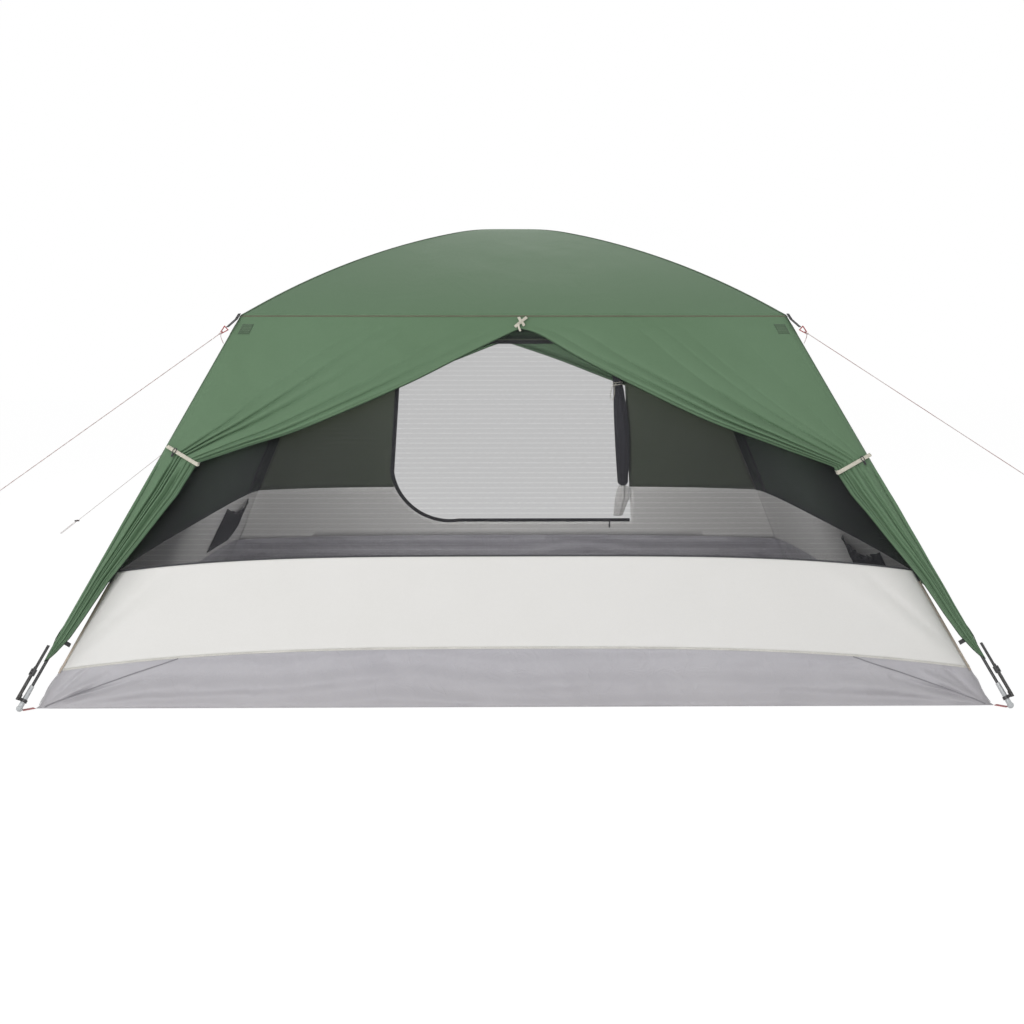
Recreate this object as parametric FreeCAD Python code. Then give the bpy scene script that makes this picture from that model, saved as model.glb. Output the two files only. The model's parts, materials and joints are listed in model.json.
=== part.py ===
import FreeCAD, Part
import os
from math import sin, cos, tan, atan, atan2, sqrt, hypot, radians, degrees, pi

# A dome tent for a family, with a fly sheet over a mesh inner tent.
# Two bent poles cross at the crown. Millimetres, +Z up, the front faces -Y.
# The origin is on the ground, under the crown.

V = FreeCAD.Vector
UP = V(0, 0, 1)

# Driving dimensions of the frame
foot_half = 1820.0        # a pole's foot, in X and in Y, from the middle of the tent
leg_lean = 0.495          # how far a leg leans in, in X and in Y, for each mm of height
shoulder_height = 1450.0  # where the leg's line meets the roof's line
crown_height = 1897.0     # a pole's axis at the crown
roof_angle = 34.5         # slope of the roof at the shoulder, seen square to a side
crown_angle = 16.0        # slope where the roof's long arc meets the crown's short one
shoulder_run = 60.0       # straight piece of roof beside the shoulder
elbow_radius = 200.0

pole_radius = 5.5
pole_bore = 3.6
shock_cord_radius = 1.5
ferrule_radius = 6.75
ferrule_length = 60.0
elbow_tube_radius = 6.5
slip = 0.2                # room between a tube and what slides over it
lower_pole_drop = 8.0     # at the crown one pole passes under the other
upper_pole_rise = 4.0

# Cloth is drawn 2 mm thick. Offsets are measured square to the cloth from the poles' axes.
cloth = 2.0
fly_offset = 17.0
inner_offset = -42.0
seam_gap = 0.2            # half the gap between two panels at a corner

# Heights of the edges of the panels
fly_tip_height = 165.0
fly_hem_height = 400.0
skirt_front = 203.0
skirt_front_corner = 118.0
skirt_rear = 240.0
skirt_rear_corner = 205.0
band_front = 530.0
band_front_corner = 432.0
band_rear = 550.0
band_rear_corner = 512.0
ground_sheet = 2.0

# The fly's doors: each half is drawn aside and tied near its pole
door_top = 1440.0
door_top_width = 60.0
front_tie_height = 882.0
rear_tie_height = 962.0
tie_reach = 1246.0        # the gathered edge at the tie, from the middle
front_sag = 66.0
rear_sag = 4.0

# The rear door of the inner tent, seen from the front
door_sill = 337.0
door_head = 1405.0
zip_half_width = 6.0
zip_thickness = 3.0

# Webbing
strap_width = 20.0
strap_thickness = 1.2
tie_width = 13.0

# Guylines
line_radius = 1.5
strand_gap = 12.0
loop_length = 330.0
peg_front_left = (-2933.0, -2100.0)
peg_front_right = (3100.0, -2100.0)
peg_rear_left = (-3410.0, 3800.0)

cloth_secant = sqrt(1 + leg_lean ** 2)
shoulder_half = foot_half - leg_lean * shoulder_height
root_two = sqrt(2)
far = 4000.0

os.makedirs("parts", exist_ok=True)


def save(name, shape):
    """Write one node, and print its solids and volume."""
    if isinstance(shape, (list, tuple)):
        shape = Part.makeCompound(list(shape))
    solids = shape.Solids
    print(name, len(solids), "solids", round(sum(s.Volume for s in solids) / 1000, 2), "cm3",
          "" if shape.isValid() else "NOT VALID")
    shape.exportStep("parts/" + name + ".step")


def unit(vector):
    return vector * (1 / vector.Length)


def solid_polygon(points, push):
    """A closed polygon pushed along a vector."""
    return Part.Face(Part.makePolygon(points + [points[0]])).extrude(push)


def roof_radii(half, rise, start, end, run):
    """Radii of the long arc and the crown arc that join a shoulder to the crown."""
    across = half - run * cos(start)
    up = rise - run * sin(start)
    a, b = sin(end), sin(start) - sin(end)
    c, d = 1 - cos(end), cos(end) - cos(start)
    det = a * d - b * c
    return (a * up - c * across) / det, (d * across - b * up) / det


# The line of the fabric, seen square to a side: r is the distance from the middle
start_angle = radians(roof_angle)
end_angle = radians(crown_angle)
long_radius, crown_radius = roof_radii(
    shoulder_half, crown_height - shoulder_height, start_angle, end_angle, shoulder_run)
crown_centre = (0.0, crown_height - crown_radius)
join = (crown_radius * sin(end_angle), crown_centre[1] + crown_radius * cos(end_angle))
long_centre = (join[0] - long_radius * sin(end_angle), join[1] - long_radius * cos(end_angle))


def wall_half(height, offset):
    """Half the width of the tent at a height, at an offset from the poles' axes."""
    return foot_half + offset * cloth_secant - leg_lean * height


def on_long_arc(angle, offset):
    return (long_centre[0] + (long_radius + offset) * sin(angle),
            long_centre[1] + (long_radius + offset) * cos(angle))


def on_crown_arc(angle, offset):
    return ((crown_radius + offset) * sin(angle),
            crown_centre[1] + (crown_radius + offset) * cos(angle))


def eave(offset):
    """Where the wall's line meets the roof's line."""
    r, z = on_long_arc(start_angle, offset)
    t = (wall_half(z, offset) - r) / (cos(start_angle) - leg_lean * sin(start_angle))
    return r + t * cos(start_angle), z - t * sin(start_angle)


def roof_height(r, offset):
    """Height of the roof's line at a distance from the middle."""
    radius = crown_radius + offset
    if r < radius * sin(end_angle):
        return crown_centre[1] + sqrt(radius ** 2 - r ** 2)
    radius = long_radius + offset
    if r < long_centre[0] + radius * sin(start_angle):
        return long_centre[1] + sqrt(radius ** 2 - (r - long_centre[0]) ** 2)
    edge = eave(offset)
    return edge[1] + (edge[0] - r) * tan(start_angle)


def front_point(point):
    return V(0, -point[0], point[1])


def wedge():
    """The quarter of the plan that belongs to the front."""
    corners = [V(0, -seam_gap, -1), V(-far, -far - seam_gap, -1), V(far, -far - seam_gap, -1)]
    return solid_polygon(corners, V(0, 0, 2600))


def wall_slab(outer, base):
    """The front wall from a height up to the eave, mitred at its corners."""
    inner = outer - cloth
    points = [(wall_half(base, outer), base), eave(outer), eave(inner), (wall_half(base, inner), base)]
    slab = solid_polygon([front_point(p) for p in points], V(2 * foot_half, 0, 0))
    slab.translate(V(-foot_half, 0, 0))
    return slab.common(wedge())


def roof_slab(outer):
    """The front gore of the roof, bent in one direction only."""
    inner = outer - cloth
    half_long = (start_angle + end_angle) / 2
    edges = []
    for offset in (outer, inner):
        start = front_point(eave(offset))
        turn = front_point(on_long_arc(start_angle, offset))
        middle = front_point(on_long_arc(half_long, offset))
        joint = front_point(on_long_arc(end_angle, offset))
        near = front_point(on_crown_arc(end_angle / 2, offset))
        top = front_point((0.0, crown_height + offset))
        edges.append([Part.makeLine(start, turn), Part.Arc(turn, middle, joint).toShape(),
                      Part.Arc(joint, near, top).toShape()])
    ends = [Part.makeLine(edges[0][2].Vertexes[-1].Point, edges[1][2].Vertexes[-1].Point),
            Part.makeLine(edges[1][0].Vertexes[0].Point, edges[0][0].Vertexes[0].Point)]
    outline = Part.Wire(Part.__sortEdges__(edges[0] + edges[1] + ends))
    slab = Part.Face(outline).extrude(V(2 * foot_half, 0, 0))
    slab.translate(V(-foot_half, 0, 0))
    return slab.common(wedge())


def front_region(points):
    """A prism through the front wall, from points in X and Z."""
    return solid_polygon([V(x, -far, z) for x, z in points], V(0, far, 0))


def turned(shape, quarters):
    """Turn about the middle: 1 is the right side, 2 the rear, 3 the left."""
    copy = shape.copy()
    copy.rotate(V(0, 0, 0), UP, 90 * quarters)
    return copy


def curve_height(x, left, middle, right, half, power):
    """A seam that is flat in the middle and falls towards both corners."""
    straight = left + (right - left) * (x + half) / (2 * half)
    return straight + (middle - (left + right) / 2) * (1 - abs(x / half) ** power)


def seam_points(left, middle, right, power, half=1790.0, count=24):
    steps = [-half + 2 * half * i / count for i in range(count + 1)]
    return [(x, curve_height(x, left, middle, right, half, power)) for x in steps]


def between(low, high):
    """The region between two seams, each a list of points from left to right."""
    return front_region(low + high[::-1])


def flat_seam(height, half=1950.0):
    return [(-half, height), (half, height)]


# Fly sheet
fly_wall = wall_slab(fly_offset, 20.0)
fly_roof = roof_slab(fly_offset)
sides = ("front", "right", "rear", "left")
for quarter, side in enumerate(sides):
    save("fly_roof_" + side, turned(fly_roof, quarter))

hem = seam_points(fly_tip_height, fly_hem_height, fly_tip_height, 7)
for side in ("right", "left"):
    panel = fly_wall.common(between(hem, flat_seam(1600.0)))
    save("fly_wall_" + side, turned(panel, sides.index(side)))


def gathered_edge(tie_height, sag):
    """The free edge of a door half, from the eave down to its tie."""
    top = door_top_width / 2
    points = []
    for i in range(9):
        t = i / 8
        x = top + (tie_reach - top) * t
        z = door_top + (tie_height - door_top) * t - sag * 4 * t * (1 - t) * (1 - 0.35 * (2 * t - 1))
        points.append((x, z))
    return points


def oval(centre, across, depth, along):
    """A flat oval of cloth, square to a direction, for lofting."""
    axis = unit(along)
    ellipse = Part.Ellipse(V(0, 0, 0), max(across, depth), min(across, depth))
    wire = Part.Wire(ellipse.toShape())
    wide = V(1, 0, 0) if across >= depth else V(0, 1, 0)
    wire.rotate(V(0, 0, 0), UP, 0 if wide.x else 90)
    wire.Placement = FreeCAD.Placement(centre, FreeCAD.Rotation(UP, axis)).multiply(wire.Placement)
    return wire


def door_half(tie_height, sag):
    """The right half of the front door: a flat upper part and a bundle down the leg."""
    edge = gathered_edge(tie_height, sag)
    leg = [(wall_half(z, 0.0) - back, z) for z, back in
           ((tie_height - 120, 128.0), (560.0, 98.0), (320.0, 58.0), (fly_tip_height, 22.0))]
    outside = [(1900.0, fly_tip_height), (1900.0, 1600.0), (0.3, 1600.0), (0.3, door_top)]
    sheet = fly_wall.common(front_region(edge + leg + outside))
    sections = []
    for height, back, wide, deep in ((tie_height, 92.0, 52.0, 15.0), (700.0, 71.0, 46.0, 16.0),
                                     (430.0, 53.0, 34.0, 14.0), (190.0, 30.0, 13.0, 8.0)):
        x = wall_half(height, fly_offset) - back
        y = -wall_half(height, fly_offset + 2.0)
        sections.append(oval(V(x, y, height), wide, deep, V(leg_lean, -leg_lean, -1)))
    bundle = Part.makeLoft(sections, True, True)
    return sheet.fuse(bundle)


def mirrored(shape):
    return shape.mirror(V(0, 0, 0), V(1, 0, 0))


front_half = door_half(front_tie_height, front_sag)
rear_half = door_half(rear_tie_height, rear_sag)
save("fly_door_front_right", front_half)
save("fly_door_front_left", mirrored(front_half))
save("fly_door_rear_left", turned(rear_half, 2))
save("fly_door_rear_right", turned(mirrored(rear_half), 2))


def tieback(tie_height):
    """A cream strap round the gathered cloth at the right, and its black elastic loop."""
    strap_offset = fly_offset + 24.0
    low_z, high_z = tie_height + 10, tie_height + 56
    reach = min(tie_reach + 100, wall_half(high_z, fly_offset) - 16)
    low = V(tie_reach - 4, -wall_half(low_z, strap_offset), low_z)
    high = V(reach, -wall_half(high_z, strap_offset), high_z)
    along = unit(high - low)
    out = unit(V(0, -1, leg_lean))
    across = unit(along.cross(out))
    strap = strip(low, high, across, out, tie_width, 2.5)
    third = low + (high - low) * 0.68 + out * 4.3
    loop = Part.makeTorus(11.0, 1.5, third, out)
    return strap, loop


def strip(start, end, across, out, width, thickness):
    """A flat strap from one point to another, its inner face on the line."""
    half = across * (width / 2)
    return solid_polygon([start - half, start + half, end + half, end - half], out * thickness)


straps, loops = [], []
for tie_height, quarter in ((front_tie_height, 0), (rear_tie_height, 2)):
    strap, loop = tieback(tie_height)
    for flip in (False, True):
        straps.append(turned(mirrored(strap) if flip else strap, quarter))
        loops.append(turned(mirrored(loop) if flip else loop, quarter))
save("door_tieback_straps", straps)
save("door_tieback_loops", loops)

out = unit(V(0, -1, leg_lean))
top_tie_z = door_top - 8
knot_place = V(0, -wall_half(top_tie_z, fly_offset + 8.0), top_tie_z)
toggle = strip(knot_place + V(-26, 0, 14), knot_place + V(26, 0, 26), unit(V(-0.2, 0.4, 0.9)), out, 9.0, 3.0)
tail = strip(knot_place + V(0, 0, 18), knot_place + V(2, -10, -24), V(1, 0, 0), out, 9.0, 3.0)
top_tie = toggle.fuse(tail)
save("door_top_ties", [top_tie, turned(top_tie, 2)])

# Inner tent
inner_wall = wall_slab(inner_offset, ground_sheet)
inner_roof = roof_slab(inner_offset)
floor_half = wall_half(0.0, inner_offset)
floor = Part.makeBox(2 * floor_half, 2 * floor_half, ground_sheet, V(-floor_half, -floor_half, 0))
save("inner_floor", floor)

# Each side's seams: heights at its left corner, middle and right corner, seen from outside
skirt_levels = {
    "front": (skirt_front_corner, skirt_front, skirt_front_corner),
    "right": (skirt_front_corner, 215.0, skirt_rear_corner),
    "rear": (skirt_rear_corner, skirt_rear, skirt_rear_corner),
    "left": (skirt_rear_corner, 215.0, skirt_front_corner)}
band_levels = {
    "front": (band_front_corner, band_front, band_front_corner),
    "right": (band_front_corner, 515.0, band_rear_corner),
    "rear": (band_rear_corner, band_rear, band_rear_corner),
    "left": (band_rear_corner, 515.0, band_front_corner)}


def door_outline():
    """The rear door's outline as seen from outside the rear, hinge side at the left."""
    hinge_foot, hinge_head = (-745.0, door_sill), (-640.0, door_head)
    foot_turn, foot_mid, foot_end = (300.0, door_sill), (590.0, 430.0), (692.0, 640.0)
    head_turn, head_mid, head_end = (640.0, 1150.0), (545.0, 1330.0), (300.0, door_head)

    def at(point):
        return V(point[0], -far, point[1])

    return Part.Wire([
        Part.makeLine(at(hinge_foot), at(foot_turn)),
        Part.Arc(at(foot_turn), at(foot_mid), at(foot_end)).toShape(),
        Part.makeLine(at(foot_end), at(head_turn)),
        Part.Arc(at(head_turn), at(head_mid), at(head_end)).toShape(),
        Part.makeLine(at(head_end), at(hinge_head)),
        Part.makeLine(at(hinge_head), at(hinge_foot))])


def door_prism(grow):
    return Part.Face(door_outline().makeOffset2D(grow)).extrude(V(0, far, 0))


door_hole = door_prism(zip_half_width + 1)
skirts, roofs = [], []
for quarter, side in enumerate(sides):
    skirt_top = seam_points(*skirt_levels[side], 3)
    band_top = seam_points(*band_levels[side], 3.6)
    skirts.append(turned(inner_wall.common(between(flat_seam(0.0), skirt_top)), quarter))
    band = inner_wall.common(between(skirt_top, band_top))
    upper = inner_wall.common(between(band_top, flat_seam(1600.0)))
    if side == "rear":
        band = band.cut(door_hole)
        upper = upper.cut(door_hole)
    save("inner_band_" + side, turned(band, quarter))
    save("inner_rear_panel" if side == "rear" else "inner_mesh_" + side, turned(upper, quarter))
    roofs.append(turned(inner_roof, quarter))
save("inner_skirts", skirts)
save("inner_roof_mesh", roofs)

# The zip of the rear door runs along the sill, the free side and the head, not along the hinge
zip_outer = inner_offset + 0.5
zip_inner = zip_outer - zip_thickness
tape_points = [(wall_half(0, zip_outer), 0), (wall_half(1600, zip_outer), 1600),
               (wall_half(1600, zip_inner), 1600), (wall_half(0, zip_inner), 0)]
tape_slab = solid_polygon([front_point(p) for p in tape_points], V(2 * far, 0, 0))
tape_slab.translate(V(-far, 0, 0))
hinge_cut = front_region([(-900, 330), (-737, 330), (-632, 1420), (-900, 1420)])
tape = tape_slab.common(door_prism(zip_half_width)).cut(door_prism(-zip_half_width)).cut(hinge_cut)
save("rear_door_zip", turned(tape, 2))


def wall_frame(x, height, offset, quarter=2):
    """Place something drawn with X along the wall, Y out of it and Z up it."""
    y = -wall_half(height, offset)
    tilt = FreeCAD.Rotation(V(1, 0, 0), -degrees(atan(leg_lean)))
    flip = FreeCAD.Rotation(UP, 180)
    place = FreeCAD.Placement(V(x, y, height), tilt.multiply(flip))
    turn = FreeCAD.Placement(V(0, 0, 0), FreeCAD.Rotation(UP, 90 * quarter))
    return turn.multiply(place)


def placed(shape, placement):
    copy = shape.copy()
    copy.Placement = placement.multiply(copy.Placement)
    return copy


def box(low, high):
    return Part.makeBox(high[0] - low[0], high[1] - low[1], high[2] - low[2], V(*low))


# Zip slider: a channel over the tape's free edge, with a lug and a pin for its pull.
# Y is out of the wall from the tape's middle plane, and Z is away from the door's middle.
slider_half = 9.0
pin_depth = -7.2


def zip_slider():
    inside = box((-slider_half, -4.0, -10.0), (slider_half, -2.1, 4.0))
    outside = box((-slider_half, 2.1, -10.0), (slider_half, 3.6, 4.0))
    web = box((-slider_half, -4.0, -10.0), (slider_half, 3.6, -7.9))
    lugs = [box((x, -8.6, -6.0), (x + 1.6, -3.5, -1.0)) for x in (-5.6, 4.0)]
    pin = Part.makeCylinder(1.0, 10.0, V(-5.0, pin_depth, -3.5), V(1, 0, 0))
    body = inside
    for piece in [outside, web, pin] + lugs:
        body = body.fuse(piece)
    return body


def zip_pull(hang):
    """A pull that hangs straight down from the slider's pin; hang is the sign of down in the wall's Z."""
    pin = V(0, pin_depth, -3.5)
    across = V(1, 0, 0)
    eye = Part.makeCylinder(3.0, 6.0, pin - across * 3, across)
    bar = box((-3.0, pin_depth - 1.2, -3.5), (3.0, pin_depth + 1.2, 38.5))
    grip = box((-4.5, pin_depth - 1.8, 20.5), (4.5, pin_depth + 1.8, 42.5))
    pull = eye.fuse(bar).fuse(grip).cut(Part.makeCylinder(1.5, 8.0, pin - across * 4, across))
    lean = degrees(atan(leg_lean))
    pull.rotate(pin, across, lean if hang > 0 else 180 - lean)
    return pull


sill_slider_x = -620.0
head_slider_x = -600.0
tape_middle = (zip_outer + zip_inner) / 2
sill_place = wall_frame(sill_slider_x, door_sill, tape_middle)
head_place = wall_frame(head_slider_x, door_head, tape_middle)
over = FreeCAD.Placement(V(0, 0, 0), FreeCAD.Rotation(V(0, 1, 0), 180))
# At the sill the tape's free edge is its upper one, so the channel is turned over
save("zip_slider_sill", placed(zip_slider(), sill_place.multiply(over)))
save("zip_pull_sill", placed(zip_pull(1), sill_place.multiply(over)))
save("zip_slider_head", placed(zip_slider(), head_place))
save("zip_pull_head", placed(zip_pull(-1), head_place))
pin_place = V(0, pin_depth, -3.5)
print("pull pins", sill_place.multiply(over).multVec(pin_place), head_place.multVec(pin_place))

# The door itself is rolled up and hangs beside the hinge, inside the tent
roll_sections = [(366.0, 668.0, 30.0, 17.0), (480.0, 686.0, 44.0, 26.0), (560.0, 690.0, 32.0, 24.0),
                 (800.0, 671.0, 43.0, 30.0), (1000.0, 652.0, 41.0, 30.0), (1162.0, 627.0, 27.0, 23.0),
                 (1178.0, 625.0, 27.0, 23.0), (1260.0, 616.0, 36.0, 27.0), (1330.0, 606.0, 18.0, 15.0)]
roll_clearance = 4.0


def roll_oval(height, x, across, depth, grow=0.0):
    offset = inner_offset - cloth - roll_clearance - depth
    centre = V(-x, -wall_half(height, offset), height)
    return oval(centre, across + grow, depth + grow, V(0, leg_lean, 1))


mesh_part = [roll_oval(*s) for s in roll_sections[2:]]
hem_part = [roll_oval(*s) for s in roll_sections[:3]]
save("rear_door_roll", turned(Part.makeLoft(mesh_part, True, True), 2))
save("rear_door_roll_hem", turned(Part.makeLoft(hem_part, True, True), 2))
cinch = roll_sections[5:7]
cinch_outer = Part.makeLoft([roll_oval(*s, grow=2.6) for s in cinch], True, True)
cinch_inner = Part.makeLoft([roll_oval(*s, grow=0.3) for s in cinch], True, True)
save("rear_door_roll_tie", turned(cinch_outer.cut(cinch_inner), 2))

# Mesh pockets on the side walls, open at the top
pocket_wide, pocket_tall, pocket_deep = 620.0, 240.0, 34.0


def pocket():
    """An open pouch whose back is the wall, with X along the wall and -Y into the tent."""
    half = pocket_wide / 2
    front = box((-half, -pocket_deep, 0), (half, -pocket_deep + cloth, pocket_tall))
    base = box((-half, -pocket_deep, 0), (half, -0.3, cloth))
    ends = [box((x, -pocket_deep, 0), (x + cloth, -0.3, pocket_tall)) for x in (-half, half - cloth)]
    return front.fuse(base).fuse(ends[0]).fuse(ends[1])


pocket_offset = inner_offset - cloth
left_pocket = placed(pocket(), wall_frame(-950.0, 262.0, pocket_offset, 3))
right_pocket = placed(pocket(), wall_frame(-750.0, 240.0, pocket_offset, 1))
save("mesh_pockets", [left_pocket, right_pocket])

# A loop under the crown for a lantern
crown_inside = crown_height + inner_offset - cloth
loop_outer = box((-19, -7.5, crown_inside - 47), (19, 7.5, crown_inside - 0.3))
loop_hole = box((-16, -9, crown_inside - 44), (16, 9, crown_inside - 3.3))
save("lantern_loop", loop_outer.cut(loop_hole))

# Poles, drawn in the plane of X and Z and then turned to the diagonals
leg_direction = unit(V(-root_two * leg_lean, 0, 1))
leg_angle = atan2(1, root_two * leg_lean)
roof_start = atan(tan(start_angle) / root_two)
roof_end = atan(tan(end_angle) / root_two)
corner = V(root_two * shoulder_half, 0, shoulder_height)
corner_run = hypot(root_two * shoulder_run * cos(start_angle), shoulder_run * sin(start_angle))
elbow_tangent = elbow_radius * tan((leg_angle - roof_start) / 2)
leg_length = (corner - V(root_two * foot_half, 0, 0)).Length


def leg_point(distance):
    """A point on the axis of the right-hand leg, by its distance from the ground."""
    return V(root_two * foot_half, 0, 0) + leg_direction * distance


def straight_tube(start, end, outer, bore=0.0):
    tube = Part.makeCylinder(outer, (end - start).Length, start, end - start)
    if bore:
        tube = tube.cut(Part.makeCylinder(bore, (end - start).Length, start, end - start))
    return tube


def bent_tube(centre, radius, low, high, outer, bore=0.0):
    """Part of a ring in the plane of X and Z; angles are slopes, from the crown down."""
    place = centre + V(radius * sin(low), 0, radius * cos(low))
    ring = Part.Face(Part.Wire(Part.makeCircle(outer, place, V(cos(low), 0, -sin(low)))))
    if bore:
        ring = ring.cut(Part.Face(Part.Wire(Part.makeCircle(bore, place, V(cos(low), 0, -sin(low))))))
    return ring.revolve(centre, V(0, 1, 0), degrees(high - low))


class Pole:
    """One pole: two legs, two elbows and an arched roof part."""

    def __init__(self, lift, quarter_turn):
        self.turn = quarter_turn
        rise = crown_height + lift - shoulder_height
        self.long, self.crown = roof_radii(corner.x, rise, roof_start, roof_end, corner_run)
        self.top = crown_height + lift
        self.crown_centre = V(0, 0, self.top - self.crown)
        joint = self.crown_centre + V(self.crown * sin(roof_end), 0, self.crown * cos(roof_end))
        self.long_centre = joint - V(self.long * sin(roof_end), 0, self.long * cos(roof_end))

    def set(self, shapes):
        """Both halves of the pole, turned to its diagonal."""
        halves = []
        for shape in shapes:
            for copy in (shape, mirrored(shape)):
                copy = copy.copy()
                copy.rotate(V(0, 0, 0), UP, self.turn)
                halves.append(copy)
        return halves

    def roof_splits(self):
        return [roof_end, (roof_start + roof_end) / 2, roof_start]

    def tubes(self, outer, bore):
        leg_end = leg_length - elbow_tangent - 60.0
        cuts = [28.0, leg_end / 3, 2 * leg_end / 3, leg_end]
        pieces = [straight_tube(leg_point(a), leg_point(b), outer, bore)
                  for a, b in zip(cuts, cuts[1:])]
        splits = self.roof_splits()
        for low, high in zip(splits, splits[1:]):
            pieces.append(bent_tube(self.long_centre, self.long, low, high, outer, bore))
        return self.set(pieces)

    def crown_tube(self, outer, bore):
        tube = bent_tube(self.crown_centre, self.crown, -roof_end, roof_end, outer, bore)
        tube.rotate(V(0, 0, 0), UP, self.turn)
        return tube

    def elbow(self, outer, bore):
        centre_angle = roof_start
        roof_touch = corner + V(-cos(roof_start), 0, sin(roof_start)) * elbow_tangent
        centre = roof_touch - V(sin(roof_start), 0, cos(roof_start)) * elbow_radius
        bend = bent_tube(centre, elbow_radius, centre_angle, leg_angle, outer, bore)
        leg_end = leg_length - elbow_tangent
        stub = straight_tube(leg_point(leg_end - 60.0), leg_point(leg_end), outer, bore)
        far_end = corner + V(-cos(roof_start), 0, sin(roof_start)) * corner_run
        run = straight_tube(roof_touch, far_end, outer, bore)
        return self.set([bend.fuse(stub).fuse(run)])

    def ferrules(self):
        leg_end = leg_length - elbow_tangent - 60.0
        half = ferrule_length / 2
        inside = pole_radius + slip
        pieces = [straight_tube(leg_point(d - half), leg_point(d + half), ferrule_radius, inside)
                  for d in (leg_end / 3, 2 * leg_end / 3)]
        middle = self.roof_splits()[1]
        spread = half / self.long
        pieces.append(bent_tube(self.long_centre, self.long, middle - spread, middle + spread,
                                ferrule_radius, inside))
        return self.set(pieces)

    def roof_place(self, slope):
        """The axis and the outward direction at a slope of the roof."""
        centre, radius = (self.long_centre, self.long) if slope > roof_end else (self.crown_centre, self.crown)
        outward = V(sin(slope), 0, cos(slope))
        return centre + outward * radius, outward


pole_under = Pole(-lower_pole_drop, 45)
pole_over = Pole(upper_pole_rise, -45)
save("pole_under", pole_under.tubes(pole_radius, pole_bore))
save("pole_over", pole_over.tubes(pole_radius, pole_bore))
save("pole_under_crown", pole_under.crown_tube(pole_radius, pole_bore))
save("pole_over_crown", pole_over.crown_tube(pole_radius, pole_bore))
save("pole_elbows", pole_under.elbow(elbow_tube_radius, pole_bore)
     + pole_over.elbow(elbow_tube_radius, pole_bore))
save("pole_ferrules", pole_under.ferrules() + pole_over.ferrules())
cords = pole_under.tubes(shock_cord_radius, 0) + pole_over.tubes(shock_cord_radius, 0)
cords += [pole_under.crown_tube(shock_cord_radius, 0), pole_over.crown_tube(shock_cord_radius, 0)]
save("shock_cords", cords)

# Each foot is a socket with a ball at its end
ball_radius = 12.0
socket_radius = 9.5
socket_length = 92.0
ball_distance = ball_radius / sin(leg_angle)


def pole_foot():
    base = leg_point(ball_distance)
    socket = Part.makeCone(socket_radius, socket_radius - 1.5, socket_length, base, leg_direction)
    foot = socket.fuse(Part.makeSphere(ball_radius, base))
    room = Part.makeCylinder(pole_radius + slip, socket_length, leg_point(27.0), leg_direction)
    return foot.cut(room)


corners = {"front_left": -135, "front_right": -45, "rear_right": 45, "rear_left": 135}


def to_corner(shape, name):
    """Turn something drawn beside the leg in the plane of X and Z to a corner of the tent."""
    copy = shape.copy()
    copy.rotate(V(0, 0, 0), UP, corners[name])
    return copy


def at_corners(shape):
    return [to_corner(shape, name) for name in corners]


save("pole_feet", at_corners(pole_foot()))

# Clips hold the inner tent to the poles: a hook open outwards and a webbing tab
hook_outer, hook_width = 8.8, 16.0


def clip(place, outward, reach):
    """A clip at a point of a pole; outward is square to the pole."""
    ring = Part.makeCylinder(hook_outer, hook_width, V(-hook_width / 2, 0, 0), V(1, 0, 0))
    ring = ring.cut(Part.makeCylinder(pole_radius + slip, hook_width, V(-hook_width / 2, 0, 0), V(1, 0, 0)))
    ring = ring.cut(box((-hook_width, -12, 4.5), (hook_width, 12, 12)))
    tab = box((-hook_width / 2, -1.0, -reach), (hook_width / 2, 1.0, -hook_outer + 0.5))
    return aimed(ring.fuse(tab), place, outward)


def aimed(shape, place, outward):
    """Move a shape so that its +Z points along outward, and its X stays in the pole's plane."""
    turn = degrees(atan2(outward.x, outward.z))
    return placed(shape, FreeCAD.Placement(place, FreeCAD.Rotation(V(0, 1, 0), turn)))


leg_outward = V(sin(leg_angle), 0, cos(leg_angle))
leg_gap = -inner_offset * cloth_secant * root_two * sin(leg_angle)
clips = []
for pole in (pole_under, pole_over):
    shapes = [clip(leg_point(d), leg_outward, leg_gap - 1.5) for d in (300.0, 740.0, 1260.0, 1640.0)]
    for slope in (radians(21.5), radians(15.5), radians(7.5)):
        point, outward = pole.roof_place(slope)
        reach = (point.z - roof_height(point.x / root_two, inner_offset)) * cos(slope) - 1.0
        shapes.append(clip(point, outward, reach))
    clips += pole.set(shapes)
save("pole_clips", clips)

# Straps from the fly's tips down to the feet, in two layers below their buckles
strap_inner = 24.0        # from the pole's axis to the inner layer
layer_step = 2.4
strap_top, fly_tip_distance = 262.0, 201.0
hook_low, hook_high = 36.0, 62.0
buckle_distance = 150.0
buckle_half = 13.0


def beside_leg(low, high, near, away, half_width):
    """A block beside the leg: from low to high along it, near to away from its axis."""
    corners_xz = [leg_point(low) + leg_outward * near, leg_point(high) + leg_outward * near,
                  leg_point(high) + leg_outward * away, leg_point(low) + leg_outward * away]
    block = solid_polygon(corners_xz, V(0, 2 * half_width, 0))
    block.translate(V(0, -half_width, 0))
    return block


def corner_strap():
    half = strap_width / 2
    outer_low = strap_inner + layer_step
    first = beside_leg(hook_low + 4, strap_top, strap_inner, strap_inner + strap_thickness, half)
    second = beside_leg(hook_low + 4, buckle_distance + 22, outer_low, outer_low + strap_thickness, half)
    fold = beside_leg(hook_low + 2, hook_low + 4, strap_inner, outer_low + strap_thickness, half)
    return first.fuse(second).fuse(fold)


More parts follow.
